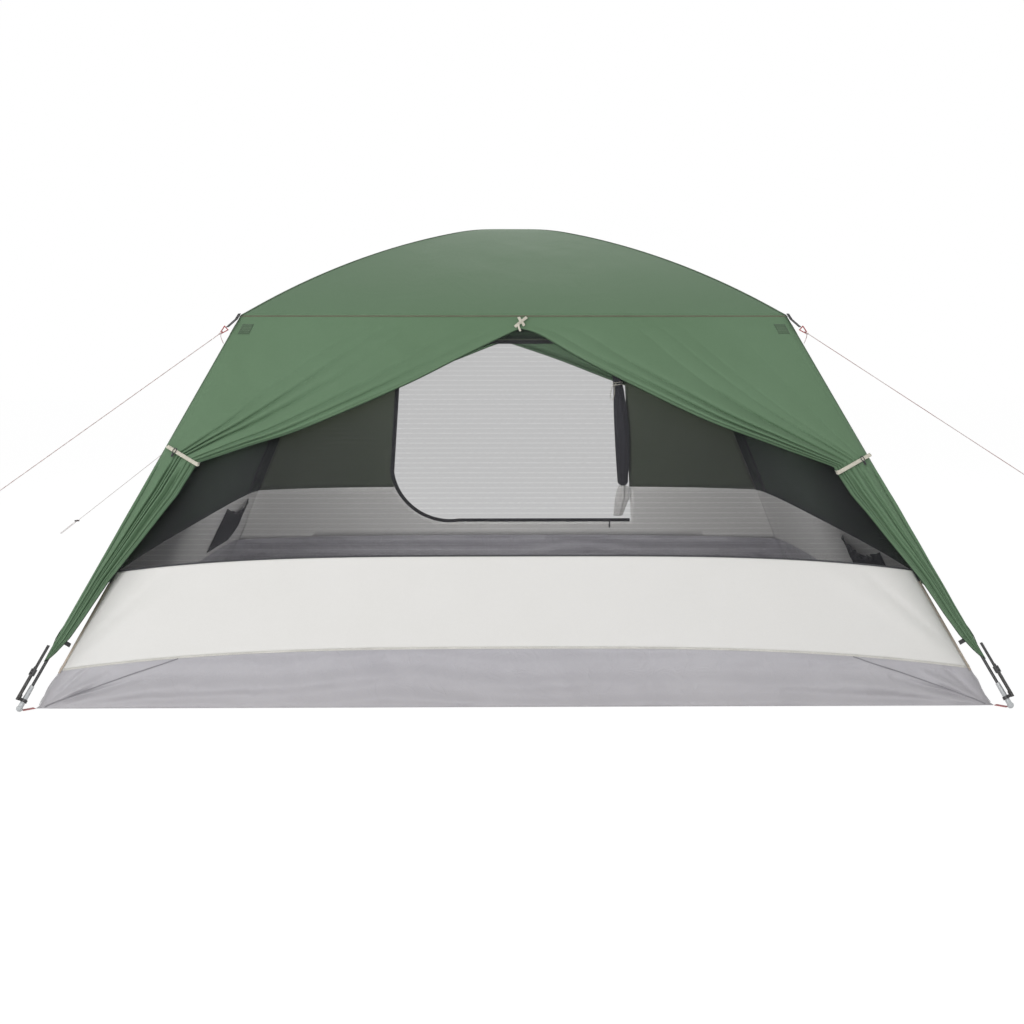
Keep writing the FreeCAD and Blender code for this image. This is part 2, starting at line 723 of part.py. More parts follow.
def ladder_buckle():
    half = strap_width / 2
    clear = 0.4
    low, high = strap_inner - clear, strap_inner + layer_step + strap_thickness + clear
    frame = beside_leg(buckle_distance - buckle_half, buckle_distance + buckle_half,
                       low - 1.8, high + 1.8, half + 5)
    slot = beside_leg(buckle_distance - 20, buckle_distance + 20, low, high, half + 0.8)
    frame = frame.cut(slot)
    for place in (-6.0, 6.0):
        window = beside_leg(buckle_distance + place - 3, buckle_distance + place + 3, high - 0.5, high + 4, half - 1)
        frame = frame.cut(window)
    return frame


def corner_hook():
    ring = straight_tube(leg_point(hook_low + 4), leg_point(hook_low + 16), 12.5, socket_radius + 0.2)
    arm = beside_leg(hook_low + 4, hook_low + 16, 11.5, strap_inner - 0.2, 5.0)
    plate = beside_leg(hook_low + 4, hook_high, strap_inner - 2.6, strap_inner - 0.2, 11.0)
    return ring.fuse(arm).fuse(plate)


save("corner_straps", at_corners(corner_strap()))
save("corner_hooks", at_corners(corner_hook()))
for name in corners:
    save("ladder_buckle_" + name, to_corner(ladder_buckle(), name))

# Red webbing joins each corner of the floor to its foot
floor_corner = root_two * floor_half
foot_x = leg_point(ball_distance).x
red_strap = box((floor_corner + 0.3, -10, 3.0), (foot_x - ball_radius + 1.0, 10, 5.0))
red_strap = red_strap.cut(Part.makeSphere(ball_radius + 0.3, leg_point(ball_distance)))
save("corner_webbing", at_corners(red_strap))

# A guy point at each shoulder: black webbing on the fly and a red loop
ridge_gap = fly_offset * cloth_secant * root_two * sin(leg_angle)


def beside_leg_height(height, gap):
    """A point outside the fly's corner at a height."""
    return leg_point(height / sin(leg_angle)) + leg_outward * (ridge_gap + gap)


def guy_webbing():
    """Sewn to the fly's corner, then pulled away from it by the line."""
    top, low = beside_leg_height(1455.0, 0.6), beside_leg_height(1432.0, 0.6)
    end = low + V(44, 0, -33)
    back = V(1.4, 0, 1.0)
    outline = [top, low, end, end + back * 1.3, low + back * 1.6, top + back]
    web = solid_polygon(outline, V(0, 18, 0))
    web.translate(V(0, -9, 0))
    return web, end + back * 0.65


webbing, webbing_end = guy_webbing()
loop_tall, loop_depth, loop_rim = 30.0, 8.0, 3.0
loop_wide, loop_narrow = 24.0, 9.0


def guy_loop(name):
    """A red strap folded to a triangle, wide at the webbing and narrow at the line, open from front to back."""
    turn = radians(corners[name])
    outward = 1 if cos(turn) > 0 else -1
    start = V(webbing_end.x * cos(turn), webbing_end.x * sin(turn), webbing_end.z)
    along = unit(V(outward * 1.0, 0, -0.9))
    side = V(-along.z, 0, along.x)
    base = start + along * 3.8

    def half_at(distance):
        return (loop_wide + (loop_narrow - loop_wide) * distance / loop_tall) / 2

    def corner_at(distance, across):
        return base + along * distance + side * across

    def outline(low, high, rim):
        broad, narrow = half_at(low) - rim, half_at(high) - rim
        return [corner_at(low, -broad), corner_at(low, broad), corner_at(high, narrow), corner_at(high, -narrow)]

    depth = V(0, loop_depth, 0)
    loop = solid_polygon(outline(0, loop_tall, 0), depth)
    loop = loop.cut(solid_polygon(outline(loop_rim, loop_tall - loop_rim, loop_rim), depth))
    loop.translate(depth * -0.5)
    return loop, corner_at(loop_tall - loop_rim / 2, 0), corner_at(loop_tall * 0.4, 0), side


red_loops = {name: guy_loop(name) for name in corners}
for name in corners:
    print("guy loop", name, "line at", red_loops[name][1], "hole at", red_loops[name][2])
save("guy_webbing", at_corners(webbing))
save("guy_loops", [red_loops[name][0] for name in corners])
ring_radius, knot_reach = 6.2, 9.2


def guyline(name, peg):
    """A taut line from its loop to the ground, round a peg's place, and back to its tensioner."""
    loop_place, loop_side = red_loops[name][1], red_loops[name][3]
    ground = V(peg[0], peg[1], line_radius + 6.0)
    along = unit(ground - loop_place)
    start = loop_place + along * (knot_reach + 3.6)
    beside = unit(UP.cross(along))
    second = ground + beside * strand_gap
    knot_back = loop_length + 14.0
    tail_end = second - along * knot_back
    points = [start, ground, second, tail_end]
    radius = 0.45 * strand_gap
    first_in, first_out = ground - along * radius, ground + beside * radius
    second_in, second_out = second - beside * radius, second - along * radius
    swing = radius * (1 - 1 / root_two)
    first_mid = ground - along * swing + beside * swing
    second_mid = second - along * swing - beside * swing
    path = Part.Wire([
        Part.LineSegment(start, first_in).toShape(), Part.Arc(first_in, first_mid, first_out).toShape(),
        Part.LineSegment(first_out, second_in).toShape(), Part.Arc(second_in, second_mid, second_out).toShape(),
        Part.LineSegment(second_out, tail_end).toShape()])
    section = Part.Wire(Part.makeCircle(line_radius, start, along))
    line = path.makePipeShell([section], True, False)
    expected = pi * line_radius ** 2 * path.Length
    print(name, "length", round(path.Length, 1), "bend radius", round(radius, 2),
          "volume ratio", round(line.Volume / expected, 4))
    for label, point in zip(("start", "ground", "second", "tail"), points):
        print("   ", label, [round(c, 2) for c in point])
    save("guyline_" + name, line)
    knot = Part.makeSphere(4.0, start - along * 3.6).cut(Part.makeCylinder(9, 20, start, along))
    ring = Part.makeTorus(ring_radius, line_radius, loop_place, loop_side)
    end_knot = Part.makeSphere(3.6, tail_end - along * 3.4).cut(Part.makeCylinder(9, 20, tail_end, along))
    centre = ground - along * (loop_length - 2.5) + beside * (strand_gap / 2)
    frame = FreeCAD.Rotation(beside, along.cross(beside), along, "XZY")
    bar = box((-18, -5, -2.5), (18, 5, 2.5))
    for x in (-strand_gap / 2, strand_gap / 2):
        bar = bar.cut(Part.makeCylinder(line_radius + 0.4, 12, V(x, 0, -6), UP))
    bar = placed(bar, FreeCAD.Placement(centre, frame))
    save("tensioner_" + name, bar)
    print("    tensioner", [round(c, 2) for c in centre], "along", [round(c, 5) for c in along])
    return [knot.fuse(ring), end_knot]


knots = guyline("front_left", peg_front_left)
knots += guyline("front_right", peg_front_right)
knots += guyline("rear_left", peg_rear_left)
save("guyline_knots", knots)
print("eave", eave(fly_offset), "inner eave", eave(inner_offset), "floor", floor_half)
print("leg direction", leg_direction, "leg angle", degrees(leg_angle))
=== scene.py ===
import json
from math import atan, atan2, cos, degrees, pi, radians, sin, sqrt, tan

import bpy
import numpy as np
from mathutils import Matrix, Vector, geometry


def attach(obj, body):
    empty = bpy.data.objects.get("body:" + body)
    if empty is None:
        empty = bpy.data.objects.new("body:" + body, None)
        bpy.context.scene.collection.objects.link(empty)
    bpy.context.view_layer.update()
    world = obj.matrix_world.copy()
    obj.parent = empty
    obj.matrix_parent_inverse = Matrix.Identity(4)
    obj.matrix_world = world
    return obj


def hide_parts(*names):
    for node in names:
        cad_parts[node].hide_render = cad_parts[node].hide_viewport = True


# A dome tent in metres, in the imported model's frame: +Z up, the front faces -Y.
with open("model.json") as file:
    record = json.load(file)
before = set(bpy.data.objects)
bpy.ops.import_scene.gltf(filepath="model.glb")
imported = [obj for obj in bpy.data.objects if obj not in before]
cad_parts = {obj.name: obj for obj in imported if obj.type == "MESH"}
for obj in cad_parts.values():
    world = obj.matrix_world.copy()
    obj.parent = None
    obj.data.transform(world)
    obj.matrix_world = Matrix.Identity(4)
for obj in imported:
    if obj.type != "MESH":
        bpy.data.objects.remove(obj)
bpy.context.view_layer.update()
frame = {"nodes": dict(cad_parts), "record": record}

# Driving dimensions, as in the part's source
FOOT_HALF = 1.820
LEG_LEAN = 0.495
SHOULDER_HEIGHT = 1.450
CROWN_HEIGHT = 1.897
ROOF_ANGLE = radians(34.5)
CROWN_ANGLE = radians(16.0)
SHOULDER_RUN = 0.060
SECANT = sqrt(1 + LEG_LEAN ** 2)
SHOULDER_HALF = FOOT_HALF - LEG_LEAN * SHOULDER_HEIGHT
FLY = 0.017
INNER = -0.042
CLOTH = 0.0008
SEAM_HALF = 1.790
FRONT, RIGHT, REAR, LEFT = range(4)
LEG_ANGLE = atan2(1, sqrt(2) * LEG_LEAN)

FLY_TIP, FLY_HEM, FLY_HEM_POWER = 0.165, 0.400, 7
DOOR_TOP, DOOR_TOP_HALF = 1.440, 0.030
FRONT_TIE, REAR_TIE = 0.882, 0.962
FRONT_SAG, REAR_SAG = 0.066, 0.004
TIE_REACH = 1.246

SKIRT_POWER, BAND_POWER = 3, 3.6
SKIRT = {FRONT: (0.118, 0.203, 0.118), RIGHT: (0.118, 0.215, 0.205),
         REAR: (0.205, 0.240, 0.205), LEFT: (0.205, 0.215, 0.118)}
BAND = {FRONT: (0.432, 0.530, 0.432), RIGHT: (0.432, 0.515, 0.512),
        REAR: (0.512, 0.550, 0.512), LEFT: (0.512, 0.515, 0.432)}
SIDE_NAMES = {FRONT: "front", RIGHT: "right", REAR: "rear", LEFT: "left"}

DOOR_SILL, DOOR_HEAD = 0.337, 1.405
ZIP_HALF_WIDTH = 0.006
PEGS = {"front_left": (-2.933, -2.100), "front_right": (3.100, -2.100), "rear_left": (-3.410, 3.800)}


# Shapes of the frame

def roof_radii():
    """Radii of the roof's long arc and of the crown's short one, along the poles' axes."""
    across = SHOULDER_HALF - SHOULDER_RUN * cos(ROOF_ANGLE)
    up = CROWN_HEIGHT - SHOULDER_HEIGHT - SHOULDER_RUN * sin(ROOF_ANGLE)
    a, b = sin(CROWN_ANGLE), sin(ROOF_ANGLE) - sin(CROWN_ANGLE)
    c, d = 1 - cos(CROWN_ANGLE), cos(CROWN_ANGLE) - cos(ROOF_ANGLE)
    det = a * d - b * c
    return (a * up - c * across) / det, (d * across - b * up) / det


LONG_RADIUS, CROWN_RADIUS = roof_radii()
CROWN_CENTRE = CROWN_HEIGHT - CROWN_RADIUS
LONG_CENTRE_X = (CROWN_RADIUS - LONG_RADIUS) * sin(CROWN_ANGLE)
LONG_CENTRE_Z = CROWN_CENTRE + (CROWN_RADIUS - LONG_RADIUS) * cos(CROWN_ANGLE)


def wall_half(z, offset):
    """Half the tent's width at a height, at an offset from the poles' axes."""
    return FOOT_HALF + offset * SECANT - LEG_LEAN * z


def eave(offset):
    """Distance from the middle and height of the eave."""
    r = LONG_CENTRE_X + (LONG_RADIUS + offset) * sin(ROOF_ANGLE)
    z = LONG_CENTRE_Z + (LONG_RADIUS + offset) * cos(ROOF_ANGLE)
    t = (wall_half(z, offset) - r) / (cos(ROOF_ANGLE) - LEG_LEAN * sin(ROOF_ANGLE))
    return r + t * cos(ROOF_ANGLE), z - t * sin(ROOF_ANGLE)


def roof_profile(offset, count):
    """Distances from the middle, heights and run lengths, evenly spaced from the crown to the eave."""
    crown = [(CROWN_RADIUS + offset, a, 0.0, CROWN_CENTRE) for a in np.linspace(0.001, CROWN_ANGLE, 60)]
    long = [(LONG_RADIUS + offset, a, LONG_CENTRE_X, LONG_CENTRE_Z)
            for a in np.linspace(CROWN_ANGLE, ROOF_ANGLE, 60)[1:]]
    line = [(x + radius * sin(a), z + radius * cos(a)) for radius, a, x, z in crown + long]
    line = np.array(line + [eave(offset)])
    run = np.concatenate([[0], np.cumsum(np.hypot(*np.diff(line, axis=0).T))])
    at = np.linspace(0, run[-1], count)
    return np.interp(at, run, line[:, 0]), np.interp(at, run, line[:, 1]), at


def seam_height(x, levels, power):
    """A seam that is flat in the middle and falls towards both corners, as seen from outside."""
    left, middle, right = levels
    straight = left + (right - left) * (x + SEAM_HALF) / (2 * SEAM_HALF)
    fall = 1 - np.minimum(np.abs(x / SEAM_HALF), 1.0) ** power
    return straight + (middle - (left + right) / 2) * fall


def seam_at(share, levels, power, offset):
    """Height of a seam at a share of the half width, which itself depends on that height."""
    z = np.full_like(share, levels[1])
    for _ in range(6):
        z = seam_height(share * wall_half(z, offset), levels, power)
    return z


def turned(quarter, x, y, z):
    """Points of the front turned to another side, seen from outside in the same way."""
    c, s = round(cos(quarter * pi / 2)), round(sin(quarter * pi / 2))
    x, y, z = np.broadcast_arrays(x, y, z)
    return np.stack([c * x - s * y, s * x + c * y, z], axis=-1).astype(float)


def corner_rounding(share, power):
    return (1 + np.abs(share) ** power) ** (-1 / power)


def on_wall(quarter, x, z, offset, lift=0.0, power=90):
    """A point on a wall, lifted square to it, with the wall's corners rounded."""
    half = wall_half(z, offset + lift)
    f = corner_rounding(x / half, power)
    return turned(quarter, x * f, -half * f, z)


def out_of_wall(quarter):
    """The direction square to a wall."""
    return turned(quarter, 0.0, -1 / SECANT, LEG_LEAN / SECANT)


def soft_noise(u, v, seed):
    """Smooth noise from -1 to 1 on a lattice of unit squares."""
    table = np.random.default_rng(seed).uniform(-1, 1, (64, 64))
    i, j = np.floor(u).astype(int), np.floor(v).astype(int)
    fu, fv = u - i, v - j
    fu, fv = fu * fu * (3 - 2 * fu), fv * fv * (3 - 2 * fv)
    i, j, i1, j1 = i % 64, j % 64, (i + 1) % 64, (j + 1) % 64
    low = table[i, j] * (1 - fu) + table[i1, j] * fu
    high = table[i, j1] * (1 - fu) + table[i1, j1] * fu
    return low * (1 - fv) + high * fv


def smooth(low, high, value):
    t = np.clip((value - low) / (high - low), 0, 1)
    return t * t * (3 - 2 * t)


def fold_line(x, z, start, end, width, depth):
    """A long soft fold between two points of a panel, in its own plane."""
    a, d = np.array(start), np.array(end) - np.array(start)
    t = np.clip(((x - a[0]) * d[0] + (z - a[1]) * d[1]) / (d @ d), 0, 1)
    away = np.hypot(x - a[0] - t * d[0], z - a[1] - t * d[1])
    return depth * np.exp(-(away / width) ** 2) * (0.35 + 0.65 * np.sin(pi * np.clip(t, 0.08, 0.92)))


# Mesh makers

def finish_mesh(name, verts, faces, uvs, thickness=0.0):
    """A smooth-shaded piece with its cloth coordinates, in metres, in the map named cloth."""
    mesh = bpy.data.meshes.new(name)
    mesh.from_pydata([tuple(v) for v in verts], [], [tuple(f) for f in faces])
    layer = mesh.uv_layers.new(name="cloth")
    index = np.zeros(len(mesh.loops), np.int32)
    mesh.loops.foreach_get("vertex_index", index)
    layer.uv.foreach_set("vector", np.asarray(uvs, np.float32)[index].ravel())
    mesh.polygons.foreach_set("use_smooth", np.ones(len(mesh.polygons), bool))
    mesh.update()
    piece = bpy.data.objects.new(name, mesh)
    bpy.context.scene.collection.objects.link(piece)
    if thickness:
        layer = piece.modifiers.new("thickness", "SOLIDIFY")
        layer.thickness = thickness
        layer.offset = 0.0
    return piece


def grid_faces(rows, columns, closed=False, flip=False, first=0):
    last = columns if closed else columns - 1
    faces = []
    for j in range(rows - 1):
        for i in range(last):
            k = (i + 1) % columns
            face = [j * columns + i, j * columns + k, (j + 1) * columns + k, (j + 1) * columns + i]
            faces.append([first + n for n in (face[::-1] if flip else face)])
    return faces


def grid_piece(name, points, uvs, thickness=CLOTH, flip=False, closed=False):
    rows, columns = points.shape[:2]
    faces = grid_faces(rows, columns, closed, flip)
    return finish_mesh(name, points.reshape(-1, 3), faces, uvs.reshape(-1, 2), thickness)


def run_lengths(path):
    return np.concatenate([[0], np.cumsum(np.linalg.norm(np.diff(path, axis=0), axis=1))])


def swept(path, sides, ups, outline, closed=False):
    """Points, faces and coordinates of an outline carried along a path. The outline is in (side, up)."""
    path, n = np.asarray(path, float), len(outline)
    run = run_lengths(path)
    outline = np.asarray(outline, float)
    verts = (path[:, None] + sides[:, None] * outline[None, :, :1] + ups[:, None] * outline[None, :, 1:])
    uvs = np.stack(np.broadcast_arrays(run[:, None], outline[None, :, 0]), -1)
    rows = len(path)
    verts, uvs = verts.reshape(-1, 3), uvs.reshape(-1, 2)
    faces = grid_faces(rows, n, closed=True)
    if closed:
        faces += [[(rows - 1) * n + i, (rows - 1) * n + (i + 1) % n, (i + 1) % n, i] for i in range(n)]
    else:
        faces += [list(range(n))[::-1], [(rows - 1) * n + i for i in range(n)]]
    return verts, faces, uvs


def frames_along(path, normals, closed=False):
    """Side and up directions along a path, square to it, with up near the normals given."""
    path = np.asarray(path, float)
    if closed:
        ahead = np.roll(path, -1, axis=0) - np.roll(path, 1, axis=0)
    else:
        ahead = np.gradient(path, axis=0)
    ahead /= np.linalg.norm(ahead, axis=1, keepdims=True)
    normals = np.broadcast_to(np.asarray(normals, float), path.shape)
    sides = np.cross(ahead, normals)
    sides /= np.linalg.norm(sides, axis=1, keepdims=True)
    return sides, np.cross(sides, ahead)


def joined(name, parts, thickness=0.0):
    """One piece out of several lots of points, faces and coordinates."""
    verts, faces, uvs, first = [], [], [], 0
    for v, f, uv in parts:
        verts.append(np.asarray(v))
        uvs.append(np.asarray(uv))
        faces += [[first + i for i in face] for face in f]
        first += len(v)
    return finish_mesh(name, np.concatenate(verts), faces, np.concatenate(uvs), thickness)


def tape(path, normals, width, thick, closed=False, lift=0.0):
    """A flat woven tape with rounded edges, its lower face on the path."""
    h, t, r = width / 2, thick, thick * 0.5
    outline = [(-h + r, lift), (h - r, lift), (h, lift + r), (h - r, lift + t), (h * 0.4, lift + t * 1.12),
               (-h * 0.4, lift + t * 1.12), (-h + r, lift + t), (-h, lift + r)]
    sides, ups = frames_along(path, normals, closed)
    return swept(path, sides, ups, outline, closed)


def tube(path, normals, radius, count=8, closed=False):
    outline = [(radius * cos(a), radius * sin(a)) for a in np.arange(count) * 2 * pi / count]
    sides, ups = frames_along(path, normals, closed)
    return swept(path, sides, ups, outline, closed)


def curve_through(points, count):
    """A smooth line through a few points, by Catmull and Rom's rule."""
    p = np.asarray(points, float)
    p = np.vstack([2 * p[0] - p[1], p, 2 * p[-1] - p[-2]])
    at = np.linspace(0, len(p) - 3 - 1e-9, count)
    i, t = at.astype(int), (at % 1)[:, None]
    a, b, c, d = p[i], p[i + 1], p[i + 2], p[i + 3]
    return 0.5 * (2 * b + (c - a) * t + (2 * a - 5 * b + 4 * c - d) * t ** 2 + (3 * b - a - 3 * c + d) * t ** 3)


def cloth(piece, material, nodes):
    """Finish, body and stand-in of one panel of cloth."""
    dress(piece, material, nodes)
    return piece


def dress(piece, material, nodes=(), body="tent"):
    piece.data.materials.clear()
    piece.data.materials.append(material)
    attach(piece, body)
    if nodes:
        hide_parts(*nodes)
    return piece


# Shader node groups

def new_group(name, inputs, outputs):
    group = bpy.data.node_groups.new(name, "ShaderNodeTree")
    for label, kind, value in inputs:
        socket = group.interface.new_socket(name=label, in_out="INPUT", socket_type=kind)
        if value is not None:
            socket.default_value = value
    for label, kind in outputs:
        group.interface.new_socket(name=label, in_out="OUTPUT", socket_type=kind)
    return group, group.nodes.new("NodeGroupInput"), group.nodes.new("NodeGroupOutput")


def put(tree, kind, **settings):
    """Adds a node. A setting named by an attribute is set on the node, and any other is an input socket."""
    node = tree.nodes.new(kind)
    sockets = settings.pop("sockets", {})
    for key, value in settings.items():
        setattr(node, key, value)
    for key, value in sockets.items():
        if isinstance(value, bpy.types.NodeSocket):
            tree.links.new(value, node.inputs[key])
        else:
            node.inputs[key].default_value = value
    return node


def maths(tree, operation, *values, clamp=False):
    node = put(tree, "ShaderNodeMath", operation=operation, use_clamp=clamp, sockets=dict(enumerate(values)))
    return node.outputs[0]


def make_weave_group():
    """Threads over and under each other. Pitch is the distance between threads, in metres."""
    group, inside, outside = new_group(
        "plain_weave", [("Coordinates", "NodeSocketVector", None), ("Pitch", "NodeSocketFloat", 0.0006)],
        [("Height", "NodeSocketFloat"), ("Gaps", "NodeSocketFloat")])
    parts = put(group, "ShaderNodeSeparateXYZ", sockets={0: inside.outputs["Coordinates"]})
    across = maths(group, "DIVIDE", parts.outputs[0], inside.outputs["Pitch"])
    along = maths(group, "DIVIDE", parts.outputs[1], inside.outputs["Pitch"])
    warp = maths(group, "ABSOLUTE", maths(group, "SINE", maths(group, "MULTIPLY", across, pi)))
    weft = maths(group, "ABSOLUTE", maths(group, "SINE", maths(group, "MULTIPLY", along, pi)))
    cell = maths(group, "ADD", maths(group, "FLOOR", across), maths(group, "FLOOR", along))
    over = maths(group, "PINGPONG", cell, 1.0)
    under = maths(group, "SUBTRACT", 1.0, over)
    height = maths(group, "ADD", maths(group, "MULTIPLY", warp, over), maths(group, "MULTIPLY", weft, under))
    group.links.new(height, outside.inputs["Height"])
    gaps = maths(group, "SUBTRACT", 1.0, maths(group, "MAXIMUM", warp, weft))
    group.links.new(gaps, outside.inputs["Gaps"])
    return group


def make_dye_group():
    """Uneven colour of coated cloth: broad patches, fine mottle and a little dust near the ground."""
    group, inside, outside = new_group(
        "uneven_dye",
        [("Coordinates", "NodeSocketVector", None), ("Colour", "NodeSocketColor", (0.5, 0.5, 0.5, 1)),
         ("Second", "NodeSocketColor", (0.4, 0.4, 0.4, 1)), ("Patches", "NodeSocketFloat", 2.0),
         ("Dust", "NodeSocketFloat", 0.1)],
        [("Colour", "NodeSocketColor"), ("Mask", "NodeSocketFloat")])
    broad = put(group, "ShaderNodeTexNoise", sockets={
        "Vector": inside.outputs["Coordinates"], "Scale": inside.outputs["Patches"], "Detail": 3.0,
        "Roughness": 0.55})
    fine = put(group, "ShaderNodeTexNoise", sockets={
        "Vector": inside.outputs["Coordinates"], "Scale": 90.0, "Detail": 2.0, "Roughness": 0.6})
    sum_ = maths(group, "ADD", maths(group, "MULTIPLY", broad.outputs["Fac"], 0.75),
                 maths(group, "MULTIPLY", fine.outputs["Fac"], 0.25))
    mask = put(group, "ShaderNodeMapRange", sockets={"Value": sum_, "From Min": 0.32, "From Max": 0.68})
    mixed = put(group, "ShaderNodeMix", data_type="RGBA", sockets={
        "Factor": mask.outputs[0], "A": inside.outputs["Colour"], "B": inside.outputs["Second"]})
    place = put(group, "ShaderNodeSeparateXYZ", sockets={0: inside.outputs["Coordinates"]})
    low = put(group, "ShaderNodeMapRange", sockets={
        "Value": place.outputs[2], "From Min": 0.0, "From Max": 0.22, "To Min": 1.0, "To Max": 0.0})
    dusty = maths(group, "MULTIPLY", maths(group, "MULTIPLY", low.outputs[0], fine.outputs["Fac"]),
                  inside.outputs["Dust"])
    result = put(group, "ShaderNodeMix", data_type="RGBA", sockets={
        "Factor": dusty, "A": mixed.outputs["Result"], "B": (0.36, 0.32, 0.26, 1)})
    group.links.new(result.outputs["Result"], outside.inputs["Colour"])
    group.links.new(mask.outputs[0], outside.inputs["Mask"])
    return group


def make_crease_group():
    """Small creases left by folding and packing the cloth."""
    group, inside, outside = new_group(
        "packed_creases", [("Coordinates", "NodeSocketVector", None), ("Scale", "NodeSocketFloat", 6.0)],
        [("Height", "NodeSocketFloat")])
    bent = put(group, "ShaderNodeTexNoise", sockets={
        "Vector": inside.outputs["Coordinates"], "Scale": inside.outputs["Scale"], "Detail": 4.0,
        "Distortion": 0.9})
    ridge = maths(group, "ABSOLUTE", maths(group, "SUBTRACT", bent.outputs["Fac"], 0.5))
    sharp = maths(group, "POWER", maths(group, "SUBTRACT", 1.0, maths(group, "MULTIPLY", ridge, 3.2), clamp=True),
                  3.0)
    group.links.new(sharp, outside.inputs["Height"])
    return group


def make_stitch_group():
    """Two rows of stitches along a tape. X of the coordinates runs along it and Y across, in metres."""
    group, inside, outside = new_group(
        "stitch_rows", [("Coordinates", "NodeSocketVector", None), ("Row", "NodeSocketFloat", 0.005),
                        ("Length", "NodeSocketFloat", 0.004), ("Thread", "NodeSocketFloat", 0.0005)],
        [("Mask", "NodeSocketFloat")])
    parts = put(group, "ShaderNodeSeparateXYZ", sockets={0: inside.outputs["Coordinates"]})
    away = maths(group, "ABSOLUTE", maths(group, "SUBTRACT", maths(group, "ABSOLUTE", parts.outputs[1]),
                                          inside.outputs["Row"]))
    row = maths(group, "LESS_THAN", away, inside.outputs["Thread"])
    share = maths(group, "FRACT", maths(group, "DIVIDE", parts.outputs[0], inside.outputs["Length"]))
    dash = maths(group, "LESS_THAN", share, 0.72)
    group.links.new(maths(group, "MULTIPLY", row, dash), outside.inputs["Mask"])
    return group


def make_wear_group():
    """Scuffed edges and fine scratches of hard parts."""
    group, inside, outside = new_group(
        "handled_edges", [("Coordinates", "NodeSocketVector", None), ("Scale", "NodeSocketFloat", 60.0)],
        [("Mask", "NodeSocketFloat"), ("Grain", "NodeSocketFloat")])
    edge = put(group, "ShaderNodeNewGeometry").outputs["Pointiness"]
    worn = put(group, "ShaderNodeMapRange", sockets={"Value": edge, "From Min": 0.51, "From Max": 0.60})
    grain = put(group, "ShaderNodeTexNoise", sockets={
        "Vector": inside.outputs["Coordinates"], "Scale": inside.outputs["Scale"], "Detail": 4.0})
    mask = maths(group, "MULTIPLY", worn.outputs[0], grain.outputs["Fac"])
    group.links.new(mask, outside.inputs["Mask"])
    group.links.new(grain.outputs["Fac"], outside.inputs["Grain"])
    return group


WEAVE = make_weave_group()
DYE = make_dye_group()
CREASES = make_crease_group()
STITCHES = make_stitch_group()
WEAR = make_wear_group()


def grouped(tree, group, **sockets):
    node = tree.nodes.new("ShaderNodeGroup")
    node.node_tree = group
    for key, value in sockets.items():
        if isinstance(value, bpy.types.NodeSocket):
            tree.links.new(value, node.inputs[key])
        else:
            node.inputs[key].default_value = value
    return node


def new_material(name, **sockets):
    material = bpy.data.materials.new(name)
    material.use_nodes = True
    shader = material.node_tree.nodes["Principled BSDF"]
    for key, value in sockets.items():
        shader.inputs[key.replace("_", " ")].default_value = value
    return material, material.node_tree, shader


def bump(tree, shader, height, strength, distance):
    node = put(tree, "ShaderNodeBump", sockets={"Strength": strength, "Distance": distance, "Height": height})
    tree.links.new(node.outputs["Normal"], shader.inputs["Normal"])


def rgba(colour):
    return (*colour, 1.0)


def cloth_material(name, colour, second, roughness, pitch=0.0007, crease=0.25, dust=0.1, sheen=0.15, scale=5.0,
                   patches=1.6):
    """Coated taffeta: uneven dye, a fine weave and packing creases."""
    material, tree, shader = new_material(name, Roughness=roughness, Sheen_Weight=sheen, Sheen_Roughness=0.4,
                                          Specular_IOR_Level=0.22)
    place = put(tree, "ShaderNodeTexCoord").outputs["Object"]
    flat = put(tree, "ShaderNodeUVMap", uv_map="cloth").outputs["UV"]
    dye = grouped(tree, DYE, Coordinates=place, Colour=rgba(colour), Second=rgba(second), Patches=patches,
                  Dust=dust)
    weave = grouped(tree, WEAVE, Coordinates=flat, Pitch=pitch)
    shade = put(tree, "ShaderNodeMix", data_type="RGBA", blend_type="MULTIPLY", sockets={
        "Factor": maths(tree, "MULTIPLY", weave.outputs["Gaps"], 0.25), "A": dye.outputs["Colour"],
        "B": (0.55, 0.55, 0.55, 1)})
    tree.links.new(shade.outputs["Result"], shader.inputs["Base Color"])
    creases = grouped(tree, CREASES, Coordinates=place, Scale=scale)
    height = maths(tree, "ADD", maths(tree, "MULTIPLY", creases.outputs["Height"], crease),
                   maths(tree, "MULTIPLY", weave.outputs["Height"], 0.05))
    bump(tree, shader, height, 0.5, 0.004)
    rough = maths(tree, "ADD", maths(tree, "MULTIPLY", dye.outputs["Mask"], 0.08), roughness - 0.04)
    tree.links.new(rough, shader.inputs["Roughness"])
    return material


